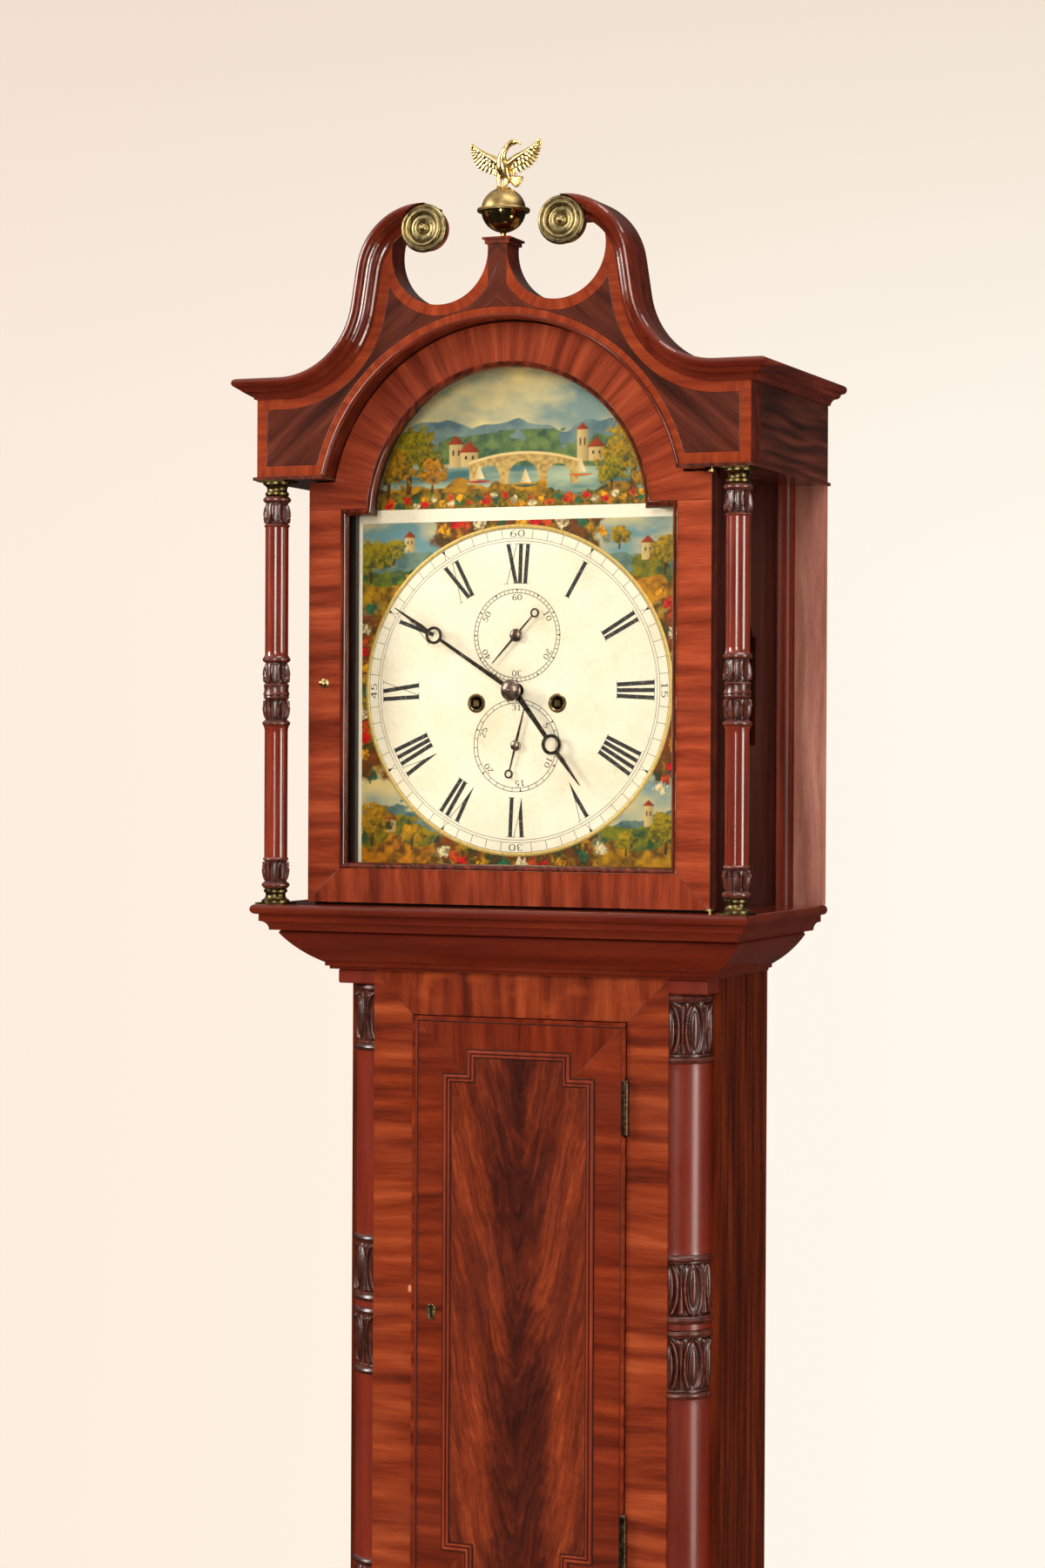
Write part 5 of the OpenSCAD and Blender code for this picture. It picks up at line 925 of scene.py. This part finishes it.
def paint_arch():
    """A river valley with a stone bridge, for the arch."""
    c = Canvas(-147.2, 147.2, 174.4, 312.8, 0.8, 11)
    sky = (c.z - 174) / 138
    haze = 0.15 + c.cloud(44, 5, 1.7) * 1.1 - 0.25 * np.abs(sky - 0.45)
    c.lay(np.ones(c.x.shape), (240, 222, 172), (112, 138, 140), haze)
    c.lay(c.ridge(242, 46, 60), (134, 150, 142), (92, 112, 116), c.cloud(16))
    c.lay(c.ridge(228, 40, 34), (112, 128, 84), (52, 78, 60), c.cloud(9))
    c.lay(c.soft(c.z - 214 + (c.x * 0.04)), (176, 188, 164), (74, 104, 104), c.cloud(12, 4, 5))
    for x, z, w, h in ((-64, 214, 14, 22), (-50, 214, 18, 14), (66, 216, 11, 30), (80, 216, 16, 13)):
        tower(c, x, z, w, h)
    deck = 226 - 0.0028 * (c.x - 6) ** 2
    span = (np.abs(c.x - 6) < 56) * c.soft(c.z - deck) * (c.z > 196)
    for x, r in ((-30, 11.5), (6, 15.0), (42, 11.5)):
        span = span * (1 - c.soft(np.hypot(c.x - x, np.maximum(c.z - 204, 0) * 1.05) - r))
    c.lay(span, (202, 178, 130), (124, 98, 66), c.cloud(3) * 0.7 + 0.3)
    c.lay(c.soft(np.abs(c.z - deck) - 1.2) * (np.abs(c.x - 6) < 57), (226, 206, 160))
    c.lay(c.ridge(196, 16, 26) * (c.x < 30), (188, 146, 66), (84, 62, 32), c.cloud(8))
    c.lay(c.ridge(190, 12, 20), (152, 118, 56), (50, 56, 30), c.cloud(6))
    for x, z, s, warm in ((-112, 218, 52, 0), (-134, 206, 40, 30), (-88, 204, 26, 40),
                          (118, 216, 54, 16), (96, 202, 26, 0), (136, 198, 30, 30)):
        tree(c, x, z, s, warm)
    for k in range(26):
        x = -130 + k * 10.6
        bush = c.blob(x, 180 + 5 * math.sin(k * 2.1), 7, 4.5, 1.0, 3.0)
        c.lay(bush, (150 + 40 * (k % 3 == 0), 130, 58), (40, 52, 28), c.cloud(3))
    for k in range(40):
        x = -134 + (k * 37 % 268)
        z = 178 + 9 * ((k * 7) % 11) / 11
        c.lay(c.blob(x, z, 3.6, 3.2, 0.9, 2.5), FLOWERS[k % 5], (70, 24, 18), c.cloud(2.5) + 0.2)
    for x, z, tint in ((-40, 199, (176, 48, 32)), (64, 203, (214, 120, 44)), (8, 194, (52, 96, 84))):
        hull = c.soft(np.hypot((c.x - x) / 3.4, c.z - z - 3.6) - 4.4) * (c.z < z + 1.6)
        c.lay(hull, tint, (60, 28, 20), 0.8 - (c.z < z) * 0.5)
        sail = c.soft(np.abs(c.x - x) - (z + 17 - c.z) * 0.42) * (c.z > z + 3) * (c.z < z + 17)
        c.lay(sail, (240, 226, 190), (176, 150, 106), 0.6 + (c.x - x) / 12)
    radius = np.hypot(c.x, c.z - 165)
    c.panel("arch_painting", (radius < 147) & (c.z > 174))


def paint_corners():
    """Four small landscapes in the corners, on a ground of leaf scrolls."""
    c = Canvas(-162.4, 162.4, -168.8, 162.4, 0.8, 57)
    c.lay(np.ones(c.x.shape), (118, 66, 36), (44, 52, 30), c.cloud(9, 4))
    leaf = np.sin(np.degrees(np.arctan2(c.z, c.x)) / 2.0 + 3 * c.cloud(20)) * (c.cloud(5) - 0.25)
    c.lay(np.clip(leaf * 2.2, 0, 1), (184, 144, 66), (96, 92, 44), c.cloud(4))
    for x0, x1, z0, z1, warm, trees, house in (
            (-163, -86, 84, 163, 0, ((-152, 122, 34), (-128, 132, 20)), (-112, 134, 10, 14)),
            (86, 163, 84, 163, 14, ((150, 124, 30), (104, 142, 18)), (132, 122, 12, 16)),
            (-163, -86, -169, -84, 26, ((-150, -132, 34), (-108, -142, 20)), (-132, -136, 13, 12)),
            (86, 163, -169, -84, 6, ((152, -136, 32), (112, -146, 18)), (134, -128, 9, 20))):
        vale(c, x0, x1, z0, z1, warm)
        tower(c, *house)
        for x, z, s in trees:
            tree(c, x, z, s, warm)
    for k in range(64):
        turn = math.radians(k * 360 / 64 + 2 * math.sin(k * 5.0))
        x, z = 172 * math.cos(turn), 172 * math.sin(turn)
        if abs(x) < 92 or abs(z) < 92:
            x, z = max(-159, min(159, x)), max(-165, min(159, z))
            c.lay(c.blob(x, z, 5.5, 5.0, 1.0, 3.0), FLOWERS[k % 5], (70, 24, 18), c.cloud(2.5) + 0.15)
    radius = np.hypot(c.x, c.z)
    c.panel("corner_paintings", radius > 156.5)


paint_arch()
paint_corners()

corners = np.array([(-163.6, -170.2), (163.6, -170.2), (163.6, 163.6), (-163.6, 163.6)])
line_wide = [(-2.2, PAINT - 0.05), (1.6, PAINT - 0.05)]
frame_line = skin(moulding(corners + [0, DIAL_Z], line_wide, True), closed=True)
frame_line.rows(np.array([[(x, PAINT - 0.06, DIAL_Z + z) for z in (163.5, 174.6)] for x in (-165.5, 165.5)]))
piece("cream_borders", frame_line, CREAM, "case")


# Hood ------------------------------------------------------------------------------

def leaf_ring(turn, height, foot, tall, count, proud, upward):
    """Round-headed hollow petals standing round a collar."""
    t = (height - foot) / tall if upward else (foot - height) / tall
    local = np.abs(((turn * count / (2 * math.pi)) % 1.0) - 0.5) * 2
    half = 0.93 * np.sqrt(np.clip(1 - (np.clip(t - 0.56, 0, 1) / 0.42) ** 2, 0, 1))
    depth = half - local
    rim = np.exp(-((depth - 0.16) / 0.15) ** 2)
    belly = np.sin(np.clip(t, 0, 1) * math.pi * 0.8) ** 0.7
    return proud * belly * np.clip(depth * 14, 0, 1) * np.maximum(rim, 0.3) * (t > 0) * (t < 1)


def hood_columns():
    """Two turned shafts with four carved collars each."""
    low, high, mid, r = HOOD_FLOOR + 15, SOFFIT_Z - 15, DIAL_Z - 1, 11.5
    collars = [(low + 1, 1), (mid - 33, 1), (mid + 33, -1), (high - 1, -1)]
    tall = 29
    close = [np.linspace(min(z, z + s * tall), max(z, z + s * tall), 60) for z, s in collars]
    heights = np.unique(np.concatenate([np.linspace(low, high, 90)] + close))
    radius = np.full(len(heights), r - 0.3)
    for z, s in collars:
        t = (heights - z) * s
        inside = (t >= 0) & (t <= tall)
        ring = np.interp(t, [0, 1.5, 3, 4.5, 6, 8, 24, 25.5, 27, 28, tall],
                         [0.8, 2.0, 2.0, 0.6, -1.8, -1.4, -1.6, -0.4, 1.0, 0.6, -0.3])
        radius = np.where(inside, r + ring, radius)
    for z, bulge in ((mid - 3, 1.7), (mid, 0.8), (mid + 3, 1.7)):
        radius = radius + bulge * np.exp(-((heights - z) / 1.1) ** 2)

    def carve(turn, height):
        return sum(leaf_ring(turn, height, z + s * 5, 20, 8, 3.8, s > 0) for z, s in collars)

    shape = np.stack([radius, heights], 1)
    return skin(*[turning(shape, (x, HOOD_COLUMN_Y), 108, carve) for x in (-HOOD_COLUMN_X, HOOD_COLUMN_X)])


columns = piece("carved_hood_columns", hood_columns(), WOOD_SHAFT, "hood",
                stands_for=["hood_columns"])
dark_collars(columns, ((1309, 1338), (1465, 1533), (1658, 1688)))

arch_path = arc(0, ARCH_Z, ARCH_BEAD_R + 0.1, 12.9, 167.1, 120)
bead = skin(moulding(arch_path, half_round(-1.8, 1.8, FRIEZE_Y, 2.0)))
piece("arch_bead", bead, WOOD_NECK, "hood")

opening = np.concatenate([arc(0, ARCH_Z, OPENING_R, 3.5, 176.5, 110),
                          [(-OPENING_HALF, SHOULDER_Z), (-OPENING_HALF, OPENING_FOOT),
                           (OPENING_HALF, OPENING_FOOT), (OPENING_HALF, SHOULDER_Z)]])
ovolo = [(way, DOOR_Y + back) for way, back in (
    (0.2, -0.6), (0.9, -1.4), (2.2, -1.4), (3.6, -0.4), (4.8, 1.6), (5.6, 4.0), (5.9, 6.4))]
piece("glazing_ovolo", skin(moulding(opening, ovolo, True), closed=True), WOOD_OVOLO, "hood_door")


# Eagle -----------------------------------------------------------------------------

def lump(stock, spine, radii, sides=20):
    """A rounded limb along a spine of points."""
    spine, radii = np.asarray(spine, float), np.asarray(radii, float)
    way = np.gradient(spine, axis=0)
    way /= np.linalg.norm(way, axis=1)[:, None]
    side = np.cross(way, [0.0, 1.0, 0.0])
    side /= np.maximum(np.linalg.norm(side, axis=1), 1e-6)[:, None]
    lift = np.cross(side, way)
    turn = np.linspace(0, 2 * math.pi, sides, endpoint=False)
    grid = np.array([p + r * (np.outer(np.cos(turn), s) + np.outer(np.sin(turn), u))
                     for p, r, s, u in zip(spine, radii, side, lift)])
    stock.rows(grid, around=True, caps=True)


def smooth_line(points, n):
    """n places along a path, with its corners eased."""
    points = np.asarray(points, float)
    t = np.linspace(0, len(points) - 1, n)
    k = np.arange(len(points))
    line = np.stack([np.interp(t, k, points[:, j]) for j in range(points.shape[1])], 1)
    for _ in range(3):
        line[1:-1] = (line[:-2] + 2 * line[1:-1] + line[2:]) / 4
    return line


def feather(stock, root, tip, wide, thick, droop):
    """A flat blade with a rounded end and a raised shaft."""
    root, tip = np.array(root, float), np.array(tip, float)
    t = np.linspace(0, 1, 12)
    line = root + np.outer(t, tip - root)
    line[:, 2] -= droop * np.sin(t * math.pi)
    way = (tip - root) / np.linalg.norm(tip - root)
    across = np.cross(way, [0.0, 1.0, 0.0])
    width = wide * np.sqrt(np.clip(1 - ((t - 0.45) / 0.56) ** 2, 0, 1)) + 0.05
    blade = ((-1, 0), (-0.5, 0.8), (0, 1.4), (0.5, 0.8), (1, 0), (0.5, -0.8), (0, -1.2), (-0.5, -0.8))
    grid = []
    for p, w in zip(line, width):
        grid.append([p + across * w * s + np.array([0, -1, 0]) * thick * h for s, h in blade])
    stock.rows(np.array(grid), around=True, caps=True)


def eagle():
    """Body leaning left, head turned right, wings raised in a V."""
    stock = Stock()

    def limb(points, thick_from, thick_to, n, sides):
        spots = smooth_line([(x, FINIAL_Y + y, FINIAL_FOOT + z) for x, y, z in points], n)
        lump(stock, spots, np.linspace(thick_from, thick_to, n), sides)
        return spots

    body = [(5, 3, 6, 1.6), (2.5, 1, 12, 4.6), (0, 0, 18, 6.4), (-1.5, -1, 24, 6.0), (-1.5, -2, 29, 4.2),
            (0.5, -3, 34, 3.0), (4, -3, 39, 2.5), (8, -3, 42.3, 2.6), (11.5, -3, 43.2, 2.9),
            (14, -3, 42.6, 1.8)]
    body = smooth_line(np.array(body) + [0, FINIAL_Y, FINIAL_FOOT, 0], 28)
    lump(stock, body[:, :3], body[:, 3])
    limb([(13.2, -3, 43.1), (16, -3, 42.8), (17.9, -3, 41.2), (18.2, -3, 39.2)], 1.7, 0.3, 8, 12)
    for side in (-1, 1):
        lead = limb([(side * x, y, z) for x, y, z in (
            (4, 1, 24), (12, 2, 30), (20, 3, 34), (28, 3.5, 39.5), (35.5, 4, 45))], 3.6, 0.9, 24, 14)
        edge = smooth_line([(side * x, FINIAL_Y + y, FINIAL_FOOT + z) for x, y, z in (
            (9, 3, 13), (20, 4, 17), (29, 4.5, 22), (33.5, 5, 30), (35.5, 5, 37), (36.2, 5, 44))], 24)
        for count, length, wide, front in ((13, 1.0, 2.6, 0.8), (11, 0.6, 2.6, -0.6), (9, 0.34, 2.4, -1.5)):
            for k in range(count):
                along = k / (count - 1)
                start = lead[int(1 + 20 * along)] + [0, front + 0.25 * (k % 2), 0]
                end = start + (edge[int(23 * along)] - start) * length
                feather(stock, start, end, wide, 0.45, 0.4)
        ankle = side * 3.2 - 1
        limb([(ankle, 1, 13), (side * 4 - 1, 0, 8.5), (side * 3.4 - 1, -0.5, 4), (ankle, -1, 2)],
             3.0, 1.0, 10, 12)
        for toe in (-26, 6, 38):
            out, ahead = math.sin(math.radians(toe)), math.cos(math.radians(toe))
            limb([(ankle, -1, 2.3), (ankle + 3 * out, -1 - 3 * ahead, 2.5),
                  (ankle + 5 * out, -1 - 5 * ahead, 1.3)], 0.95, 0.35, 7, 10)
    tail = np.array([3.5, FINIAL_Y + 3.5, FINIAL_FOOT + 12])
    for k in range(7):
        a = math.radians(-58 + k * 9)
        feather(stock, tail, tail + [14 * math.cos(a), 3.0, 12 * math.sin(a)], 1.7, 0.5, 0.2)
    foot = [(0.1, 0), (6.8, 0), (7.0, 0.6), (6.0, 1.5), (3.5, 2.1), (0.1, 2.3)]
    stock.rows(turning([(r, FINIAL_FOOT + h) for r, h in foot], (0, FINIAL_Y), 32))
    return stock


piece("gilt_eagle", eagle(), GILT, "hood", crisp=50, stands_for=["finial_eagle"])


# Trunk -----------------------------------------------------------------------------

def acanthus(turn, height, foot, tall, upward):
    """Smooth bosses between hollowed leaves whose tips curl out, eight to the circle."""
    t = (height - foot) / tall if upward else (foot - height) / tall
    inside = (t > 0) & (t < 1)
    t = np.clip(t, 0, 1)
    side = np.abs((turn * 8 / (2 * math.pi) + 0.5) % 1.0 - 0.5) * 2
    boss = np.sqrt(np.clip(1 - (side / 0.4) ** 2 - ((t - 0.46) / 0.38) ** 2, 0, 1))
    oval = 0.72 * np.sqrt(np.clip(1 - ((t - 0.48) / 0.5) ** 2, 0, 1))
    rim = np.exp(-((side - oval) / 0.15) ** 2) * (0.55 + 0.35 * t)
    spine = np.exp(-((side - 1) / (0.08 + 0.22 * t ** 2)) ** 2) * (0.45 + 0.55 * t ** 2)
    total = np.maximum(np.maximum(boss * 0.66, rim), spine) * np.clip(np.minimum(t, 1 - t) * 14, 0, 1)
    return np.where(inside, 4.6 * total, 0.0)


def trunk_columns():
    """Quarter columns with four carved collars each, and the blocks above and below them."""
    low, high = TRUNK_BOTTOM + 14, TRUNK_TOP - 14
    mid = (low + high) / 2
    collars = [(low + 1 + COLLAR_TALL, -1), (mid - 68, 1), (mid + 3 + COLLAR_TALL, -1), (high - 66, 1)]
    close = [np.linspace(min(z, z + s * COLLAR_TALL), max(z, z + s * COLLAR_TALL), 130) for z, s in collars]
    heights = np.unique(np.concatenate([np.linspace(low, high, 120)] + close))
    radius = np.where(np.abs(heights - mid) < 2.6, QUARTER_R - 1.2, QUARTER_R)
    for z, s in collars:
        t = (heights - z) * s
        inside = (t >= 0) & (t <= COLLAR_TALL)
        ring = np.interp(t, [0, 1.5, 3.5, 5.5, 6.5, 8, 9, 55, 57, 58.5, 61.5, 64, COLLAR_TALL],
                         [0.3, 2, 2.8, 2, -0.8, -0.8, -2.0, -1.6, -1.6, 1.2, 2.6, 1.5, -0.4])
        radius = np.where(inside, QUARTER_R + ring, radius)

    def carve(turn, height):
        return sum(acanthus(turn, height, z + s * 8.5, 49, s > 0) for z, s in collars)

    quarter = turning(np.stack([radius, heights], 1), (QUARTER_X, QUARTER_Y), 120, carve, -89.9, -0.1)
    stock = skin(quarter, mirrored(quarter))
    front, back, tall, chamfer = -48.4, -13.65, 13.9, 1.2
    for side in (-1, 1):
        a, b = sorted((side * 151.65, side * 190))
        for z in (TRUNK_BOTTOM + 0.02, TRUNK_TOP - 14):
            stock.rows(np.array([
                [(a + q, front + q, h), (b - q, front + q, h), (b - q, back, h), (a + q, back, h)]
                for q, h in ((chamfer, z), (0, z + chamfer), (0, z + tall - chamfer), (chamfer, z + tall))]),
                around=True, caps=True)
    return stock


quarters = piece("carved_quarter_columns", trunk_columns(), WOOD_QUARTER, "case",
                 stands_for=["trunk_columns"])
dark_collars(quarters, ((590, 655), (834.3, 899.4), (905.3, 970.4), (1149.7, 1214.8)))

IN, UP = PANEL_HALF - PANEL_STEP, PANEL_REACH - PANEL_NOTCH
left_side = [(-IN, PANEL_REACH), (-IN, UP), (-PANEL_HALF, UP),
             (-PANEL_HALF, -UP), (-IN, -UP), (-IN, -PANEL_REACH)]
stepped = np.array(left_side + [(-x, z) for x, z in left_side[::-1]]) + [0, DOOR_MID]
door_edge = np.array([(-DOOR_HALF, -DOOR_TALL), (-DOOR_HALF, DOOR_TALL), (DOOR_HALF, DOOR_TALL),
                      (DOOR_HALF, -DOOR_TALL)]) + [0, DOOR_MID]
door_face = TRUNK_Y - 0.2


def sunk_line(path, first, last, proud):
    """A flat dark line just proud of the door's face, painted shade standing for the shadow in a groove."""
    inward = 0.1 if last > first else -0.1
    return moulding(path, [(first, door_face), (first + inward, door_face - proud),
                           (last - inward, door_face - proud), (last, door_face)], True)


beads = [(0.0, door_face)]
for centre, r in ((1.8, 1.7), (5.6, 1.3)):
    beads += half_round(centre, -r, door_face - 0.1, 2.0, 0, 180)
beads.append((6.9, door_face))
piece("panel_double_bead", skin(moulding(stepped, beads, True), closed=True), WOOD_BEAD, "trunk_door",
      stands_for=["trunk_door_moulding"])
# Painted shade: dark lines along the panel bead and round the door's edge stand for the shadow in the groove
# and the gap.
groove_shades = skin(sunk_line(stepped, -0.9, 7.9, 0.3), sunk_line(door_edge, -0.1, -5.1, 0.2), closed=True)
piece("door_groove_shades", groove_shades, WOOD_MASK, "trunk_door")
edge_bead = moulding(door_edge, half_round(-2.3, 1.9, door_face, 1.7), True)

keyhole = np.concatenate([arc(0, 2.6, 2.5, -50, 230, 26), arc(0, -5.4, 1.9, 180, 360, 10)])
keyhole = keyhole + [-89.9, DOOR_MID]
rim = [(way, TRUNK_Y + back) for way, back in ((0.3, -0.9), (0.1, -1.3), (-1.4, -1.3), (-1.8, -0.6))]
piece("keyhole_rim", skin(moulding(keyhole, rim, True), closed=True), GILT, "trunk_door")
# Painted shade: a flat dark sheet inside the keyhole rim stands for the shadow in the hole.
keyhole_shade = Stock()
keyhole_shade.add([(x, TRUNK_Y - 0.95, z) for x, z in keyhole], [list(range(len(keyhole)))])
piece("keyhole_painted_shade", keyhole_shade, WOOD_MASK, "trunk_door")

BALL_TIP = np.array([(0.1, -2.4), (1.4, -2.0), (2.2, -0.6), (2.3, 0.2), (1.6, 1.6), (0.1, 2.2)])
tips = skin(*[turning(BALL_TIP + [0, z], HINGE_AT, 20) for z in (672.0, 722.0, 1082.0, 1132.0)])
piece("hinge_tips", tips, HINGE_BRONZE, "case")
piece("door_edge_bead", skin(edge_bead, closed=True), WOOD_BEAD, "trunk_door")

for train, xs in (("going", (16.65, 60.65)), ("strike", (-66.65, -22.65))):
    mid_x = sum(xs) / 2
    fall = np.linspace(LINE_TOP, PULLEY_Z, 12)
    round_pulley = np.linspace(0.1, math.pi - 0.1, 24)
    path = ([(xs[0], z) for z in fall]
            + [(mid_x - PULLEY_R * math.cos(a), PULLEY_Z - PULLEY_R * math.sin(a)) for a in round_pulley]
            + [(xs[1], z) for z in fall[::-1]])
    spine = np.array([(x, LINE_Y, z) for x, z in path])
    line = Stock()
    lump(line, spine, np.full(len(spine), 0.7), 10)
    made = piece("gut_" + train, line, GUT, None, stands_for=["gut_line_" + train])
    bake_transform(made)


# Room, light and camera ---------------------------------------------------------------

WALL_Y = 1.5


def stage_sheet(name, points, colours, rough):
    """A sheet of the stage in metres, kept out of reflections."""
    mesh = bpy.data.meshes.new(name)
    mesh.from_pydata(points, [], [[0, 1, 2, 3]])
    f, x, y, z = Finish(name + "_finish").place()
    cloud = f.noise(x / 900, y / 900, z / 900, detail=4.0)
    # Painted light: the sheet is painted darker to the left and, above 1.5 m, darker towards the top, as the
    # room's light falls off.
    tint = f.rise(x, -1700.0, 400.0) + (cloud - 0.5) * 0.1
    shadow = 1 - f.rise(z, 1500.0, 2700.0) * 0.22
    grain = f.noise(x / 6, y / 6, z / 6)
    mesh.materials.append(f.done(f.shade(f.ramp(tint, colours), shadow), rough, grain, 0.02))
    made = bpy.data.objects.new(name, mesh)
    bpy.context.scene.collection.objects.link(made)
    made.visible_glossy = False
    return made


stage_sheet("floor", [(-6, -6, 0), (6, -6, 0), (6, WALL_Y, 0), (-6, WALL_Y, 0)],
            [(226, 212, 192), (234, 222, 204)], 0.7)
wall = stage_sheet("wall", [(-6, WALL_Y, -0.01), (6, WALL_Y, -0.01), (6, WALL_Y, 6), (-6, WALL_Y, 6)],
                   [(208, 199, 195), (236, 232, 230)], 0.9)
# The wall only throws light back; the pale room shows in its place, so that no view stands behind it.
wall.visible_camera = False

WARM_WHITE = (1.0, 0.95, 0.88)


def soft_light(name, at, aim, size, power, lights_room=True):
    """A soft box; one that doesn't light the room only shows in polished surfaces."""
    lamp = bpy.data.lights.new(name, "AREA")
    lamp.shape, lamp.size, lamp.size_y, lamp.energy, lamp.color = "RECTANGLE", *size, power, WARM_WHITE
    made = bpy.data.objects.new(name, lamp)
    made.location = at
    made.rotation_euler = (Vector(aim) - Vector(at)).to_track_quat("-Z", "Y").to_euler()
    made.visible_camera = False
    made.visible_diffuse = lights_room
    bpy.context.scene.collection.objects.link(made)


soft_light("key", (-3.3, -2.2, 3.0), (0, 0, 1.4), (1.4, 1.8), 150)
soft_light("fill", (0.9, -4.4, 2.6), (0, 0, 1.3), (1.4, 1.8), 70)
soft_light("wall_wash", (1.4, -0.4, 4.0), (0.2, WALL_Y, 0.9), (2.4, 0.8), 46)
soft_light("right_wash", (3.6, -0.9, 1.8), (0, 0, 1.3), (0.6, 2.0), 34)
soft_light("column_glint", (2.15, -0.62, 1.1), (0.15, 0, 1.1), (0.7, 1.9), 24, lights_room=False)
soft_light("strip", (0.45, -3.7, 1.95), (0, 0, 1.95), (0.26, 1.9), 28)

world = bpy.data.worlds.new("room")
world.use_nodes = True


def room_node(kind, settings=(), inputs=()):
    """A node of the world; inputs are values or the outputs of other nodes."""
    made = world.node_tree.nodes.new("ShaderNode" + kind)
    for key, value in dict(settings).items():
        setattr(made, key, value)
    for key, value in dict(inputs).items():
        if isinstance(value, bpy.types.NodeSocket):
            world.node_tree.links.new(value, made.inputs[key])
        else:
            made.inputs[key].default_value = value
    return made.outputs


def room_rise(value, low, high, bottom=0.0, top=1.0):
    return room_node("MapRange", {"interpolation_type": "SMOOTHSTEP"}, {
        "Value": value, "From Min": low, "From Max": high, "To Min": bottom, "To Max": top})["Result"]


# Soft light from overhead, and for the camera a pale room, warmer to the left and darker above: painted
# light, the shading of a lit wall.
heading = room_node("TexCoord")["Generated"]
overhead = room_node("VectorMath", {"operation": "DOT_PRODUCT"}, {0: heading, 1: (-0.2, -0.1, 0.97)})["Value"]
strength = room_rise(overhead, 0.15, 1.0, 0.03, 0.85)
sky = room_node("Background", (), {"Color": (*WARM_WHITE, 1.0), "Strength": strength})
parts = room_node("SeparateXYZ", (), {0: heading})
pale = room_node("Mix", {"data_type": "RGBA"}, {
    0: room_rise(parts["X"], -0.56, -0.2), 6: srgb(254, 237, 221), 7: srgb(255, 249, 236)})[2]
pale = room_node("Mix", {"data_type": "RGBA"}, {
    0: room_rise(parts["Z"], 0.04, 0.3), 6: pale, 7: srgb(238, 220, 203)})[2]
backdrop = room_node("Background", (), {"Color": pale})
seen = room_node("LightPath")["Is Camera Ray"]
either = room_node("MixShader", (), {0: seen, 1: sky[0], 2: backdrop[0]})
world.node_tree.links.new(either[0], world.node_tree.nodes["World Output"].inputs["Surface"])
bpy.context.scene.world = world
bpy.context.scene.view_settings.view_transform = "Standard"

FOCAL_PIXELS, FRAME_TALL = 3745.06, 1800
CAMERA_AT = (1.18023, -2.92652, 1.43606)
YAW, PITCH, ROLL = map(math.radians, (22.25, -0.46, 0.27))
ahead = Vector((-math.sin(YAW) * math.cos(PITCH), math.cos(YAW) * math.cos(PITCH), math.sin(PITCH)))
level = Vector((math.cos(YAW), math.sin(YAW), 0.0))
above = level.cross(ahead)
right = level * math.cos(ROLL) + above * math.sin(ROLL)
top = above * math.cos(ROLL) - level * math.sin(ROLL)
camera = bpy.data.objects.new("camera", bpy.data.cameras.new("camera"))
camera.data.sensor_fit = "VERTICAL"
camera.data.sensor_height = 36.0
camera.data.lens = FOCAL_PIXELS / FRAME_TALL * camera.data.sensor_height
camera.matrix_world = Matrix.Translation(CAMERA_AT) @ Matrix((
    (right.x, top.x, -ahead.x), (right.y, top.y, -ahead.y), (right.z, top.z, -ahead.z))).to_4x4()
bpy.context.scene.collection.objects.link(camera)
bpy.context.scene.camera = camera
